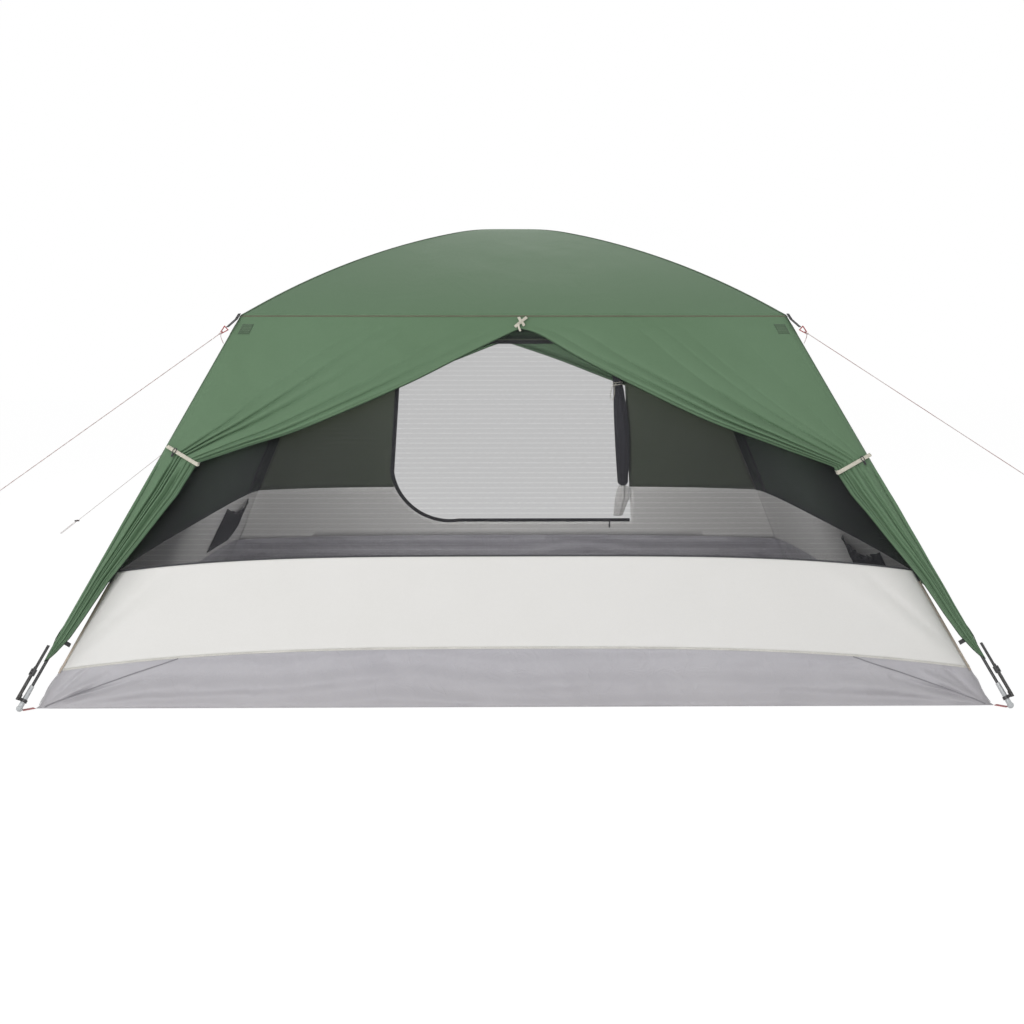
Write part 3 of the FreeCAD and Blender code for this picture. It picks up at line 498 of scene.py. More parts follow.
def tape_material(name, colour, thread, roughness=0.7, pitch=0.0016, row=0.0045):
    """Woven tape or webbing with two rows of stitches."""
    material, tree, shader = new_material(name, Roughness=roughness, Sheen_Weight=0.2)
    flat = put(tree, "ShaderNodeUVMap", uv_map="cloth").outputs["UV"]
    place = put(tree, "ShaderNodeTexCoord").outputs["Object"]
    weave = grouped(tree, WEAVE, Coordinates=flat, Pitch=pitch)
    stitches = grouped(tree, STITCHES, Coordinates=flat, Row=row)
    dye = grouped(tree, DYE, Coordinates=place, Colour=rgba(colour), Second=rgba([0.8 * c for c in colour]),
                  Patches=14.0, Dust=0.15)
    dark = put(tree, "ShaderNodeMix", data_type="RGBA", blend_type="MULTIPLY", sockets={
        "Factor": weave.outputs["Gaps"], "A": dye.outputs["Colour"], "B": (0.45, 0.45, 0.45, 1)})
    sewn = put(tree, "ShaderNodeMix", data_type="RGBA", sockets={
        "Factor": stitches.outputs["Mask"], "A": dark.outputs["Result"], "B": rgba(thread)})
    tree.links.new(sewn.outputs["Result"], shader.inputs["Base Color"])
    height = maths(tree, "SUBTRACT", weave.outputs["Height"], maths(tree, "MULTIPLY", stitches.outputs["Mask"], 0.8))
    bump(tree, shader, height, 0.6, 0.0006)
    return material


def webbing_material(name, colour, roughness=0.6, pitch=0.0022):
    """Webbing of the CAD nodes, which have no cloth coordinates: ribs along their own directions."""
    material, tree, shader = new_material(name, Roughness=roughness, Sheen_Weight=0.25)
    place = put(tree, "ShaderNodeTexCoord").outputs["Object"]
    slanted = put(tree, "ShaderNodeMapping", sockets={"Vector": place, "Rotation": (0.0, radians(35), radians(45))})
    weave = grouped(tree, WEAVE, Coordinates=slanted.outputs[0], Pitch=pitch)
    dye = grouped(tree, DYE, Coordinates=place, Colour=rgba(colour), Second=rgba([0.7 * c for c in colour]),
                  Patches=20.0, Dust=0.2)
    dark = put(tree, "ShaderNodeMix", data_type="RGBA", blend_type="MULTIPLY", sockets={
        "Factor": weave.outputs["Gaps"], "A": dye.outputs["Colour"], "B": (0.4, 0.4, 0.4, 1)})
    tree.links.new(dark.outputs["Result"], shader.inputs["Base Color"])
    bump(tree, shader, weave.outputs["Height"], 0.7, 0.0008)
    return material


def mesh_material(name, alpha, band_height=0.019):
    """Fine insect mesh, see-through, with the faint rows that its knitting leaves."""
    material, tree, shader = new_material(name, Roughness=0.75)
    flat = put(tree, "ShaderNodeUVMap", uv_map="cloth").outputs["UV"]
    place = put(tree, "ShaderNodeTexCoord").outputs["Object"]
    dye = grouped(tree, DYE, Coordinates=place, Colour=(0.014, 0.014, 0.018, 1), Second=(0.020, 0.020, 0.025, 1),
                  Patches=3.0, Dust=0.02)
    tree.links.new(dye.outputs["Colour"], shader.inputs["Base Color"])
    parts = put(tree, "ShaderNodeSeparateXYZ", sockets={0: flat})
    rows = maths(tree, "FRACT", maths(tree, "DIVIDE", parts.outputs[1], band_height))
    row = maths(tree, "LESS_THAN", rows, 0.22)
    flecks = put(tree, "ShaderNodeTexNoise", sockets={"Vector": flat, "Scale": 60.0, "Detail": 1.0})
    light = maths(tree, "MULTIPLY", maths(tree, "MULTIPLY", row, flecks.outputs["Fac"]), -0.07)
    tree.links.new(maths(tree, "ADD", light, alpha), shader.inputs["Alpha"])
    bump(tree, shader, flecks.outputs["Fac"], 0.2, 0.001)
    return material


def hard_material(name, colour, roughness, metallic=0.0, coat=0.0, wear=(0.3, 0.3, 0.3), grain=60.0,
                  specular=0.5):
    """Moulded plastic, glass fibre or plated steel with handled edges."""
    material, tree, shader = new_material(name, Roughness=roughness, Metallic=metallic, Coat_Weight=coat,
                                          Specular_IOR_Level=specular)
    place = put(tree, "ShaderNodeTexCoord").outputs["Object"]
    worn = grouped(tree, WEAR, Coordinates=place, Scale=grain)
    mixed = put(tree, "ShaderNodeMix", data_type="RGBA", sockets={
        "Factor": worn.outputs["Mask"], "A": rgba(colour), "B": rgba(wear)})
    tree.links.new(mixed.outputs["Result"], shader.inputs["Base Color"])
    rough = maths(tree, "ADD", maths(tree, "MULTIPLY", worn.outputs["Grain"], 0.16), roughness - 0.08)
    tree.links.new(rough, shader.inputs["Roughness"])
    bump(tree, shader, worn.outputs["Grain"], 0.15, 0.0006)
    return material


def cord_material(name, colour, second, pitch=0.0045):
    """A braided cord: two slanted sets of strands."""
    material, tree, shader = new_material(name, Roughness=0.75, Sheen_Weight=0.2)
    place = put(tree, "ShaderNodeTexCoord").outputs["Object"]
    braid = put(tree, "ShaderNodeTexWave", wave_type="BANDS", bands_direction="DIAGONAL", sockets={
        "Vector": place, "Scale": 1 / (20 * pitch), "Distortion": 1.5, "Detail": 1.0})
    mixed = put(tree, "ShaderNodeMix", data_type="RGBA", sockets={
        "Factor": braid.outputs["Fac"], "A": rgba(colour), "B": rgba(second)})
    tree.links.new(mixed.outputs["Result"], shader.inputs["Base Color"])
    bump(tree, shader, braid.outputs["Fac"], 0.5, 0.0006)
    return material


M = {
    "fly": cloth_material("coated_green_taffeta", (0.122, 0.205, 0.118), (0.136, 0.224, 0.134), 0.62, sheen=0.05),
    "fly_seam": tape_material("green_seam_tape", (0.085, 0.150, 0.082), (0.16, 0.24, 0.15)),
    "rear": cloth_material("dark_green_taffeta", (0.078, 0.096, 0.064), (0.096, 0.112, 0.078), 0.6),
    "cream": cloth_material("cream_taffeta", (0.80, 0.79, 0.765), (0.83, 0.82, 0.80), 0.55, crease=0.15,
                            dust=0.05),
    "cream_seam": tape_material("cream_seam_tape", (0.83, 0.81, 0.76), (0.84, 0.83, 0.80)),
    "floor": cloth_material("grey_coated_floor", (0.45, 0.44, 0.475), (0.52, 0.51, 0.54), 0.42, crease=0.7,
                            dust=0.25, scale=9.0, pitch=0.0012),
    "mesh": mesh_material("black_insect_mesh", 0.295),
    "roll_mesh": cloth_material("rolled_insect_mesh", (0.030, 0.030, 0.036), (0.045, 0.045, 0.052), 0.8,
                                crease=0.5, dust=0.0, scale=20.0),
    "cream_tape": tape_material("cream_cotton_tape", (0.82, 0.78, 0.66), (0.62, 0.58, 0.45)),
    "black_tape": tape_material("black_binding", (0.018, 0.018, 0.020), (0.05, 0.05, 0.05), row=0.0028),
    "zip_teeth": hard_material("coil_zip_teeth", (0.016, 0.016, 0.018), 0.45),
    "black_webbing": webbing_material("black_webbing", (0.005, 0.005, 0.006), 0.85),
    "red_webbing": webbing_material("red_webbing", (0.52, 0.018, 0.022)),
    "pole": hard_material("glass_fibre_tube", (0.012, 0.012, 0.014), 0.42, coat=0.1, grain=120.0,
                          wear=(0.05, 0.05, 0.05)),
    "steel": hard_material("plated_steel", (0.55, 0.55, 0.56), 0.3, metallic=1.0, wear=(0.4, 0.38, 0.35)),
    "black_plastic": hard_material("black_nylon", (0.018, 0.018, 0.020), 0.45, wear=(0.06, 0.06, 0.06)),
    "grey_plastic": hard_material("grey_nylon", (0.50, 0.52, 0.53), 0.38, coat=0.2, wear=(0.65, 0.66, 0.67)),
    "elastic": cord_material("black_elastic", (0.015, 0.015, 0.016), (0.035, 0.035, 0.038)),
    "guyline": cord_material("braided_guyline", (0.62, 0.53, 0.52), (0.48, 0.32, 0.31)),
}


M["eave_seam"] = tape_material("eave_tape", (0.150, 0.155, 0.095), (0.20, 0.17, 0.13))
M["grey_seam"] = tape_material("grey_binding", (0.060, 0.060, 0.068), (0.10, 0.10, 0.11))
M["corner_tape"] = tape_material("peach_corner_tape", (0.74, 0.62, 0.50), (0.80, 0.72, 0.62))
M["gusset"] = tape_material("grey_gusset_seam", (0.36, 0.355, 0.385), (0.42, 0.41, 0.44))
M["pocket"] = mesh_material("pocket_mesh", 0.62)
# A dark green for the thin tube under each door's rolled edge, which paints the shadow beneath the roll.
M["door_hem"] = cloth_material("dark_green_painted_roll_shadow", (0.020, 0.040, 0.022), (0.026, 0.050, 0.030), 0.6)
M["cream_webbing"] = webbing_material("cream_webbing", (0.80, 0.76, 0.64))


# Camera, light and floor

def make_camera():
    """The photograph's view: a long lens a little above the tent's shoulders."""
    camera = bpy.data.cameras.new("camera")
    camera.sensor_width, camera.lens = 36.0, 48.33
    camera.clip_start, camera.clip_end = 0.05, 200.0
    eye = bpy.data.objects.new("camera", camera)
    eye.rotation_euler = (radians(90) - 0.1000, 0.0004, -0.0129)
    eye.location = (-0.0823, -6.749, 1.2241)
    bpy.context.scene.collection.objects.link(eye)
    bpy.context.scene.camera = eye


def seen_directly(tree):
    """1 for what the camera, a mirror or glass looks at, and 0 for the light on other surfaces."""
    path = put(tree, "ShaderNodeLightPath")
    return maths(tree, "MAXIMUM", maths(tree, "MAXIMUM", path.outputs["Is Camera Ray"], path.outputs["Is Glossy Ray"]),
                 path.outputs["Is Transmission Ray"])


def make_world():
    world = bpy.data.worlds.new("studio")
    bpy.context.scene.world = world
    world.use_nodes = True
    tree = world.node_tree
    back = tree.nodes["Background"]
    back.inputs["Color"].default_value = (1, 1, 1, 1)
    strength = put(tree, "ShaderNodeMapRange", sockets={"Value": seen_directly(tree), "To Min": 0.36, "To Max": 1.0})
    tree.links.new(strength.outputs[0], back.inputs["Strength"])


def soft_lamp(name, place, aim, size, power, spread=180):
    lamp = bpy.data.lights.new(name, "AREA")
    lamp.shape, lamp.size, lamp.energy = "DISK", size, power
    lamp.spread = radians(spread)
    holder = bpy.data.objects.new(name, lamp)
    holder.location = place
    holder.rotation_euler = (Vector(aim) - Vector(place)).to_track_quat("-Z", "Y").to_euler()
    holder.visible_camera = False
    bpy.context.scene.collection.objects.link(holder)


def make_floor():
    """A pale floor that the camera sees as white, with the tent's soft shadow on it."""
    mesh = bpy.data.meshes.new("studio_floor")
    half = 60.0
    mesh.from_pydata([(-half, -half, -0.001), (half, -half, -0.001), (half, half, -0.001), (-half, half, -0.001)],
                     [], [(0, 1, 2, 3)])
    floor = bpy.data.objects.new("studio_floor", mesh)
    bpy.context.scene.collection.objects.link(floor)
    material, tree, shader = new_material("white_paper", Roughness=0.9)
    shader.inputs["Base Color"].default_value = (0.80, 0.80, 0.80, 1)
    glow = put(tree, "ShaderNodeEmission", sockets={"Color": (1, 1, 1, 1), "Strength": 1.10})
    share = maths(tree, "MULTIPLY", seen_directly(tree), 0.86)
    both = put(tree, "ShaderNodeMixShader", sockets={0: share, 1: shader.outputs[0], 2: glow.outputs[0]})
    tree.links.new(both.outputs[0], tree.nodes["Material Output"].inputs["Surface"])
    mesh.materials.append(material)


bpy.context.scene.view_settings.view_transform = "Standard"
make_camera()
make_world()
make_floor()
soft_lamp("key_softbox", (-2.2, -9.5, 3.4), (0, 0, 0.8), 3.5, 330.0)
soft_lamp("left_softbox", (-6.5, -5.5, 5.0), (0, 0, 0.9), 4.5, 90.0)
soft_lamp("right_softbox", (6.5, -5.0, 4.0), (0, 0, 0.9), 4.5, 60.0)
soft_lamp("back_softbox", (1.0, 6.5, 8.0), (0, 0, 0.9), 5.0, 120.0)
soft_lamp("light_through_the_cloth", (0, -0.80, 0.95), (0, 1.60, 0.62), 0.8, 30.0, spread=150)


# Guylines, with their points repeated from the part's source
LINE_RADIUS, STRAND_GAP, LOOP_LENGTH, KNOT_REACH = 0.0015, 0.012, 0.330, 0.0128
LOOP_TIP = (1.180002, 1.155994, 1.390989)
LINE_SIGNS = {"front_left": (-1, -1), "front_right": (1, -1), "rear_left": (-1, 1)}


def make_line_tail(name):
    """The short free end of the knot at a guy loop."""
    sign = LINE_SIGNS[name]
    tip = np.array(LOOP_TIP) * (*sign, 1)
    x, y = sign
    points = tip + np.array([(0, 0, -0.002), (0.002 * x, 0.006 * y, -0.014), (-0.003 * x, 0.007 * y, -0.030),
                             (-0.008 * x, 0.004 * y, -0.044)])
    tail = finish_mesh("line_tail_" + name, *tube(curve_through(points, 24), (1, 0, 0), LINE_RADIUS, 8))
    return dress(tail, M["guyline"])


def make_guyline(name):
    sign = LINE_SIGNS[name]
    tip = Vector((LOOP_TIP[0] * sign[0], LOOP_TIP[1] * sign[1], LOOP_TIP[2]))
    ground = Vector((*PEGS[name], LINE_RADIUS + 0.006))
    along = (ground - tip).normalized()
    beside = Vector((0, 0, 1)).cross(along).normalized()
    start, second = tip + along * KNOT_REACH, ground + beside * STRAND_GAP
    tail = second - along * (LOOP_LENGTH + 0.014)
    near_bend = 6 * 2 * LINE_RADIUS
    points = [start, ground - along * near_bend, ground, second, second - along * near_bend, tail]
    curve = bpy.data.curves.new("line_" + name, "CURVE")
    curve.dimensions = "3D"
    spline = curve.splines.new("NURBS")
    spline.points.add(len(points) - 1)
    for point, place in zip(spline.points, points):
        point.co = (*place, 1.0)
    spline.order_u = 3
    spline.use_endpoint_u = True
    spline.resolution_u = 12
    curve.bevel_depth, curve.bevel_resolution = LINE_RADIUS, 3
    line = bpy.data.objects.new("line_" + name, curve)
    bpy.context.scene.collection.objects.link(line)
    dress(line, M["guyline"], ["guyline_" + name])
    make_line_tail(name)


for line_name in PEGS:
    make_guyline(line_name)


# The fly
ROUND = 90


def roof_rows(offset, rings, columns, sag, seed):
    """Rings from the crown to the eave, with a quarter of each on every side, and their cloth coordinates."""
    r, z, run = roof_profile(offset, rings)
    share = np.linspace(-1, 1, columns, endpoint=False)[None, :]
    down = np.linspace(0, 1, rings)[:, None]
    r, z = r[:, None], z[:, None]
    f = corner_rounding(share, ROUND)
    dip = sag * (1 - share ** 2) * np.sin(pi * down) ** 2
    sides = []
    for quarter in range(4):
        points = turned(quarter, share * r * f, -r * f, z - dip)
        u, v = points[..., 0], points[..., 1]
        wave = soft_noise(u * 5.0, v * 5.0, seed) + 0.5 * soft_noise(u * 13.0, v * 13.0, seed + 1)
        points[..., 2] += 0.0022 * wave * np.sin(pi * down) ** 2 * (1 - share ** 8)
        points[..., 2] += 0.0035 * np.exp(-(u ** 2 + v ** 2) / 0.035)
        sides.append(points)
    uv = np.stack(np.broadcast_arrays(share * r, run[:, None]), -1)
    return np.concatenate(sides, axis=1), np.concatenate([uv] * 4, axis=1)


def roof_mesh_parts(offset, rings, columns, sag, seed):
    """Points, faces and coordinates of a whole roof, with a point at its crown."""
    points, uv = roof_rows(offset, rings, columns, sag, seed)
    around = 4 * columns
    crown = points[0].mean(axis=0) + (0, 0, 0.0001)
    verts = np.vstack([crown[None], points.reshape(-1, 3)])
    uvs = np.vstack([[[0, 0]], uv.reshape(-1, 2)])
    faces = [[0, 1 + i, 1 + (i + 1) % around] for i in range(around)]
    faces += grid_faces(rings, around, closed=True, flip=True, first=1)
    return verts, faces, uvs


def side_relief(x, z, down):
    """How far a side of the fly stands out: pulled in between its poles, with long soft waves."""
    half = wall_half(z, FLY)
    middle = 1 - (x / half) ** 2
    wave = soft_noise(x * 3.0 + 9, z * 1.3, 21) + 0.4 * soft_noise(x * 9.0, z * 3.0, 22)
    return middle * np.sin(pi * np.clip(down, 0, 1) * 0.8) * (0.004 * wave - 0.008)


def make_canopy():
    """The roof and both closed sides of the fly in one cloth."""
    rings, columns, rows = 72, 84, 60
    verts, faces, uvs = roof_mesh_parts(FLY, rings, columns, 0.010, 11)
    around = 4 * columns
    share = np.linspace(-1, 1, columns + 1)
    for quarter in (RIGHT, LEFT):
        top = eave(FLY)[1]
        low = seam_at(share, (FLY_TIP, FLY_HEM, FLY_TIP), FLY_HEM_POWER, FLY)
        down = np.linspace(0, 1, rows)[1:, None]
        z = top + (low - top) * down
        x = share * wall_half(z, FLY)
        points = on_wall(quarter, x, z, FLY, side_relief(x, z, down), ROUND)
        base = len(verts)
        eave_row = [1 + (rings - 1) * around + (quarter * columns + i) % around for i in range(columns + 1)]
        index = np.vstack([eave_row, base + np.arange((rows - 1) * (columns + 1)).reshape(rows - 1, columns + 1)])
        for j in range(rows - 1):
            for i in range(columns):
                faces.append([index[j, i], index[j + 1, i], index[j + 1, i + 1], index[j, i + 1]])
        verts = np.vstack([verts, points.reshape(-1, 3)])
        uvs = np.vstack([uvs, np.stack([x, z - 3], -1).reshape(-1, 2)])
    return finish_mesh("fly_canopy", verts, faces, uvs, CLOTH)


canopy = cloth(make_canopy(), M["fly"],
               ["fly_roof_front", "fly_roof_right", "fly_roof_rear", "fly_roof_left", "fly_wall_left", "fly_wall_right"])

# The free edge of each half door, from the middle of the eave to its tie, as distances from the middle and heights
DOOR_EDGES = {
    "front_right": [(0.021, 1.412), (0.110, 1.384), (0.250, 1.302), (0.397, 1.224), (0.740, 1.056), (1.005, 0.955),
                    (1.252, 0.866)],
    "front_left": [(-0.021, 1.412), (0.040, 1.384), (0.213, 1.300), (0.460, 1.177), (0.842, 1.014), (1.050, 0.947),
                   (1.248, 0.882)],
    "rear_right": [(0.021, 1.412), (0.110, 1.384), (0.300, 1.310), (0.600, 1.196), (0.900, 1.088), (1.246, 0.962)],
    "rear_left": [(-0.021, 1.412), (0.050, 1.390), (0.300, 1.306), (0.600, 1.192), (0.900, 1.086), (1.246, 0.962)],
}
TIE_RISE = 0.050
BUNDLE_BACK = [(0.172, -0.010), (0.200, 0.010), (0.251, 0.032), (0.320, 0.042), (0.450, 0.056), (0.600, 0.094),
               (0.762, 0.130), (0.990, 0.139)]
PLEATS = 7.4


def even(path, count):
    """Points spaced evenly along a path."""
    run = run_lengths(path)
    at = np.linspace(0, run[-1], count)
    return np.stack([np.interp(at, run, path[:, k]) for k in range(path.shape[1])], -1)


def door_half(name, quarter, seed):
    """A half door: hung from the eave, gathered at its tie and bundled down the leg."""
    mirror = -1 if name.endswith("left") else 1
    edge = DOOR_EDGES[name]
    rows, low_rows, columns, roll_columns = 84, 84, 126, 18
    tie = edge[-1][1]
    top_z = eave(FLY)[1]
    free = np.vstack([[(edge[0][0], top_z)], curve_through(edge, 200)])
    a = np.linspace(0, 1, columns)
    b = np.linspace(0, 1, rows)
    top = np.stack([edge[0][0] + (eave(FLY)[0] - edge[0][0]) * a, np.full(columns, top_z)], -1)
    free = even(free, rows)
    leg_z = np.linspace(top_z, tie + TIE_RISE, rows)
    leg = np.stack([wall_half(leg_z, FLY), leg_z], -1)
    gathered = free[-1] + (leg[-1] - free[-1]) * a[:, None]
    A, B = a[None, :, None], b[:, None, None]
    sheet = ((1 - B) * top[None] + B * gathered[None] + (1 - A) * free[:, None] + A * leg[:, None]
             - (1 - A) * (1 - B) * top[0] - A * (1 - B) * top[-1] - (1 - A) * B * free[-1] - A * B * leg[-1])

    c = np.linspace(0, 1, low_rows + 1)[1:]
    inner_z = tie + (0.182 - tie) * c
    back = np.interp(inner_z, *np.array(BUNDLE_BACK).T)
    blend = smooth(0.0, 0.25, c)
    straight = free[-1][0] + (wall_half(inner_z, 0.0) - wall_half(tie, 0.0))
    inner = np.stack([(wall_half(inner_z, 0.0) - back) * blend + straight * (1 - blend), inner_z], -1)
    outer_z = tie + TIE_RISE + (FLY_TIP + 0.006 - tie - TIE_RISE) * c
    outer = np.stack([wall_half(outer_z, FLY), outer_z], -1)
    bundle = inner[:, None] + (outer - inner)[:, None] * a[None, :, None]
    flat = np.concatenate([sheet, bundle])
    total = rows + low_rows
    above = np.concatenate([b, np.ones(low_rows)])[:, None]
    below = np.concatenate([np.zeros(rows), c])[:, None]
    share = a[None, :]

    drift = 0.9 * soft_noise(above * 2 + below * 3 + 0 * share, share * 3 + 0 * above, seed)
    warp = share ** 0.80 + 0.050 * np.sin(share * 13 + seed) * (1 - share) * share * 4
    phase = pi * PLEATS * warp + drift
    strong = 0.70 + 0.55 * soft_noise(share * 7 + 0 * above, above * 1.5 + below + 5 + 0 * share, seed + 1)
    pleat = (np.abs(np.sin(phase)) ** 0.6 - 0.45) * np.clip(strong, 0.15, 1.5)
    near_edge = 0.22 + 0.78 * (1 - smooth(0.30, 0.85, share))
    reach = smooth(0.08, 0.75, above) * (1 - 0.55 * smooth(0.4, 1.0, share) * (1 - above))
    amount = (0.0055 + 0.0180 * reach) * smooth(0.0, 0.12, above) * (1 - 0.80 * below)
    fold = np.abs(np.sin(pi * 3.2 * share ** 0.9 + 0.5 + 0.5 * below + 0.5 * drift)) ** 0.7 - 0.45
    fold_amount = 0.021 * smooth(0.0, 0.12, below) * (1 - 0.85 * below)
    upper_fold = 0.010 * smooth(0.30, 0.85, above) * (np.sin(pi * 3.3 * share + 0.4) - 0.2) * (below < 1e-9)
    upper_fold = upper_fold * (1 - share) + 0 * share
    pin = 1 - smooth(0.955, 1.0, share)
    lift = (amount * pleat * near_edge + fold_amount * fold + upper_fold) * pin
    waist = np.exp(-((below * 0.70) / 0.035) ** 2) * np.exp(-((1 - above) * 1.4 / 0.045) ** 2)
    lift = lift * (1 - 0.45 * waist) + 0.010 * smooth(0.55, 1.0, above) * (1 - 0.6 * below) * np.sin(pi * share) ** 0.6
    lift += 0.0018 * (soft_noise(flat[..., 0] * 14, flat[..., 1] * 14, seed + 3)) * pin * smooth(0, 0.1, above)

    across = flat[:, 6] - flat[:, 0]
    across /= np.linalg.norm(across, axis=1, keepdims=True)
    width = np.linalg.norm(flat[:, -1] - flat[:, 0], axis=1)
    radius = (0.0100 - 0.0022 * above[:, 0] * 1.0 - 0.0035 * below[:, 0]) * smooth(0, 0.05, above[:, 0]) + 0.0012
    over = 0.014 + (0.62 * width - 0.014) * smooth(0.965, 1.0, above[:, 0]) * (1 - 0.25 * below[:, 0])
    s = np.linspace(1, 0, roll_columns, endpoint=False)[None, :] ** 1.6 * (pi * radius + over)[:, None]
    turn = np.minimum(s / radius[:, None], pi)
    along = np.maximum(s - pi * radius[:, None], 0)
    shift = along - radius[:, None] * np.sin(turn)
    roll = flat[:, :1] + across[:, None] * shift[..., None]
    behind = 0.004 * np.sin(along * 260 + seed) * smooth(0.01, 0.05, along)
    roll_lift = lift[:, :1] - radius[:, None] * (1 - np.cos(turn)) - behind - 0.10 * along
    flat = np.concatenate([roll, flat], axis=1)
    lift = np.concatenate([roll_lift, lift], axis=1)
    points = on_wall(quarter, mirror * flat[..., 0], flat[..., 1], FLY, lift, ROUND)
    uv = np.stack([np.concatenate([-s, share * (0.35 + 0.9 * (1 - above))], axis=1),
                   np.broadcast_to(np.arange(total)[:, None] * 0.014, lift.shape)], -1)
    piece = grid_piece("fly_door_cloth_" + name, points, uv, CLOTH, flip=mirror > 0)
    # A line just under the rolled free edge and behind it, where a dark tube paints the roll's shadow.
    roll_shadow_points = on_wall(quarter, mirror * (flat[:, roll_columns, 0] - across[:, 0] * (radius + 0.0008)),
                         flat[:, roll_columns, 1] - across[:, 1] * (radius + 0.0008), FLY,
                         lift[:, roll_columns] - radius * 1.25, ROUND)
    return piece, roll_shadow_points[3:]


for seed, (door_name, quarter) in enumerate({"front_right": FRONT, "front_left": FRONT, "rear_right": REAR,
                                             "rear_left": REAR}.items()):
    door, roll_shadow_line = door_half(door_name, quarter, 31 + 7 * seed)
    node = door_name if quarter == FRONT else "rear_" + ("left" if door_name.endswith("right") else "right")
    # A thin dark tube under the rolled edge: a painted shadow of the roll.
    verts, faces, uvs = tube(roll_shadow_line, out_of_wall(quarter), 0.0019, 6)
    hem = dress(finish_mesh("door_hem_" + door_name, verts, faces, uvs), M["door_hem"])
    cloth(door, M["fly"], ["fly_door_" + node])


# The inner tent

# Folds that fan out from each lower corner: where each ends, its width and its depth
SKIRT_FOLDS = [((1.600, 0.135), 0.009, -0.0150), ((1.520, 0.115), 0.010, 0.0140), ((1.400, 0.100), 0.009, -0.0140),
               ((1.220, 0.085), 0.018, 0.0120), ((1.000, 0.050), 0.016, -0.0090), ((0.700, 0.090), 0.024, 0.0060)]


def inner_relief(kind):
    """How far a panel of the inner tent stands out of its plane."""
    amount, scale, seed = {"skirt": (0.0060, 6.0, 61), "band": (0.0022, 2.5, 62), "mesh": (0.0040, 1.6, 63)}[kind]

    def relief(x, z, rise):
        wave = soft_noise(x * scale, z * scale * 1.6, seed) + 0.5 * soft_noise(x * scale * 2.7, z * scale * 3, seed + 1)
        held = smooth(0, 0.12, rise) * smooth(1, 0.88, rise) * (1 - smooth(0.93, 0.995, np.abs(x) / wall_half(z, INNER)))
        lift = amount * wave * held
        if kind == "skirt":
            for side in (-1, 1):
                for end, width, depth in SKIRT_FOLDS:
                    lift = lift + fold_line(x * side, z, end, (1.748, 0.006), width, depth) * held
            lift = lift + 0.0036 * np.sin(z * 80 + 2 * soft_noise(x * 2.2, z * 0, 66)) * held
        if kind == "band":
            for side in (-1, 1):
                lift = lift - fold_line(x * side, z, (1.34, 0.47), (1.66, 0.17), 0.012, 0.0045) * held
                lift = lift + fold_line(x * side, z, (1.18, 0.49), (1.60, 0.20), 0.030, 0.0035) * held
        return lift

    return relief


def wall_panel(name, quarter, low, high, kind, columns=150, rows=40):
    """A panel between two seams of an inner wall. Low and high hold a seam's levels and its power."""
    share = np.linspace(-1, 1, columns)
    bottom = seam_at(share, *low, INNER) if low else np.full(columns, 0.0012)
    top = seam_at(share, *high, INNER) if high else np.full(columns, eave(INNER)[1])
    rise = np.linspace(0, 1, rows)[:, None]
    z = bottom + (top - bottom) * rise
    x = share * wall_half(z, INNER)
    points = on_wall(quarter, x, z, INNER, inner_relief(kind)(x, z, rise) - 0.001, ROUND)
    return grid_piece(name, points, np.stack([x, z], -1), CLOTH)


def seam_path(quarter, seam, lift, count=140):
    share = np.linspace(-1, 1, count)
    z = seam_at(share, *seam, INNER)
    return on_wall(quarter, share * wall_half(z, INNER), z, INNER, lift, ROUND)


def skirt_seam(quarter):
    return SKIRT[quarter], SKIRT_POWER


def band_seam(quarter):
    return BAND[quarter], BAND_POWER


def make_floor_cloth():
    side = np.linspace(-1, 1, 120) * (wall_half(0, INNER) - 0.004)
    x, y = np.meshgrid(side, side)
    wave = soft_noise(x * 3, y * 3, 71) + 0.6 * soft_noise(x * 9, y * 9, 72)
    z = 0.0016 + 0.0008 * wave
    return grid_piece("floor_sheet", np.stack([x, y, z], -1), np.stack([x, y], -1), CLOTH)


floor_sheet = cloth(make_floor_cloth(), M["floor"], ["inner_floor"])

for quarter, side_name in SIDE_NAMES.items():
    skirt = wall_panel("skirt_" + side_name, quarter, None, skirt_seam(quarter), "skirt", 440, 36)
    cloth(skirt, M["floor"], ["inner_skirts"])
    if quarter != REAR:
        band = wall_panel("band_" + side_name, quarter, skirt_seam(quarter), band_seam(quarter), "band", 180, 36)
        cloth(band, M["cream"], ["inner_band_" + side_name])
        net = wall_panel("net_" + side_name, quarter, band_seam(quarter), None, "mesh", 120, 60)
        cloth(net, M["mesh"], ["inner_mesh_" + side_name])


def make_roof_net():
    verts, faces, uvs = roof_mesh_parts(INNER, 50, 50, 0.022, 41)
    return finish_mesh("roof_net", verts, faces, uvs, CLOTH)


cloth(make_roof_net(), M["mesh"], ["inner_roof_mesh"])


# The rear wall with its door, as seen from outside

def arc_through(start, middle, end, count):
    """Points of the circle through three points, from the first to the last."""
    (ax, az), (bx, bz), (cx, cz) = start, middle, end
    d = 2 * (ax * (bz - cz) + bx * (cz - az) + cx * (az - bz))
    p, q, r = ax ** 2 + az ** 2, bx ** 2 + bz ** 2, cx ** 2 + cz ** 2
    ux = (p * (bz - cz) + q * (cz - az) + r * (az - bz)) / d
    uz = (p * (cx - bx) + q * (ax - cx) + r * (bx - ax)) / d
    radius = sqrt((ax - ux) ** 2 + (az - uz) ** 2)
    low, high = atan2(az - uz, ax - ux), atan2(cz - uz, cx - ux)
    if high < low:
        high += 2 * pi
    angles = np.linspace(low, high, count)
    return np.stack([ux + radius * np.cos(angles), uz + radius * np.sin(angles)], -1)


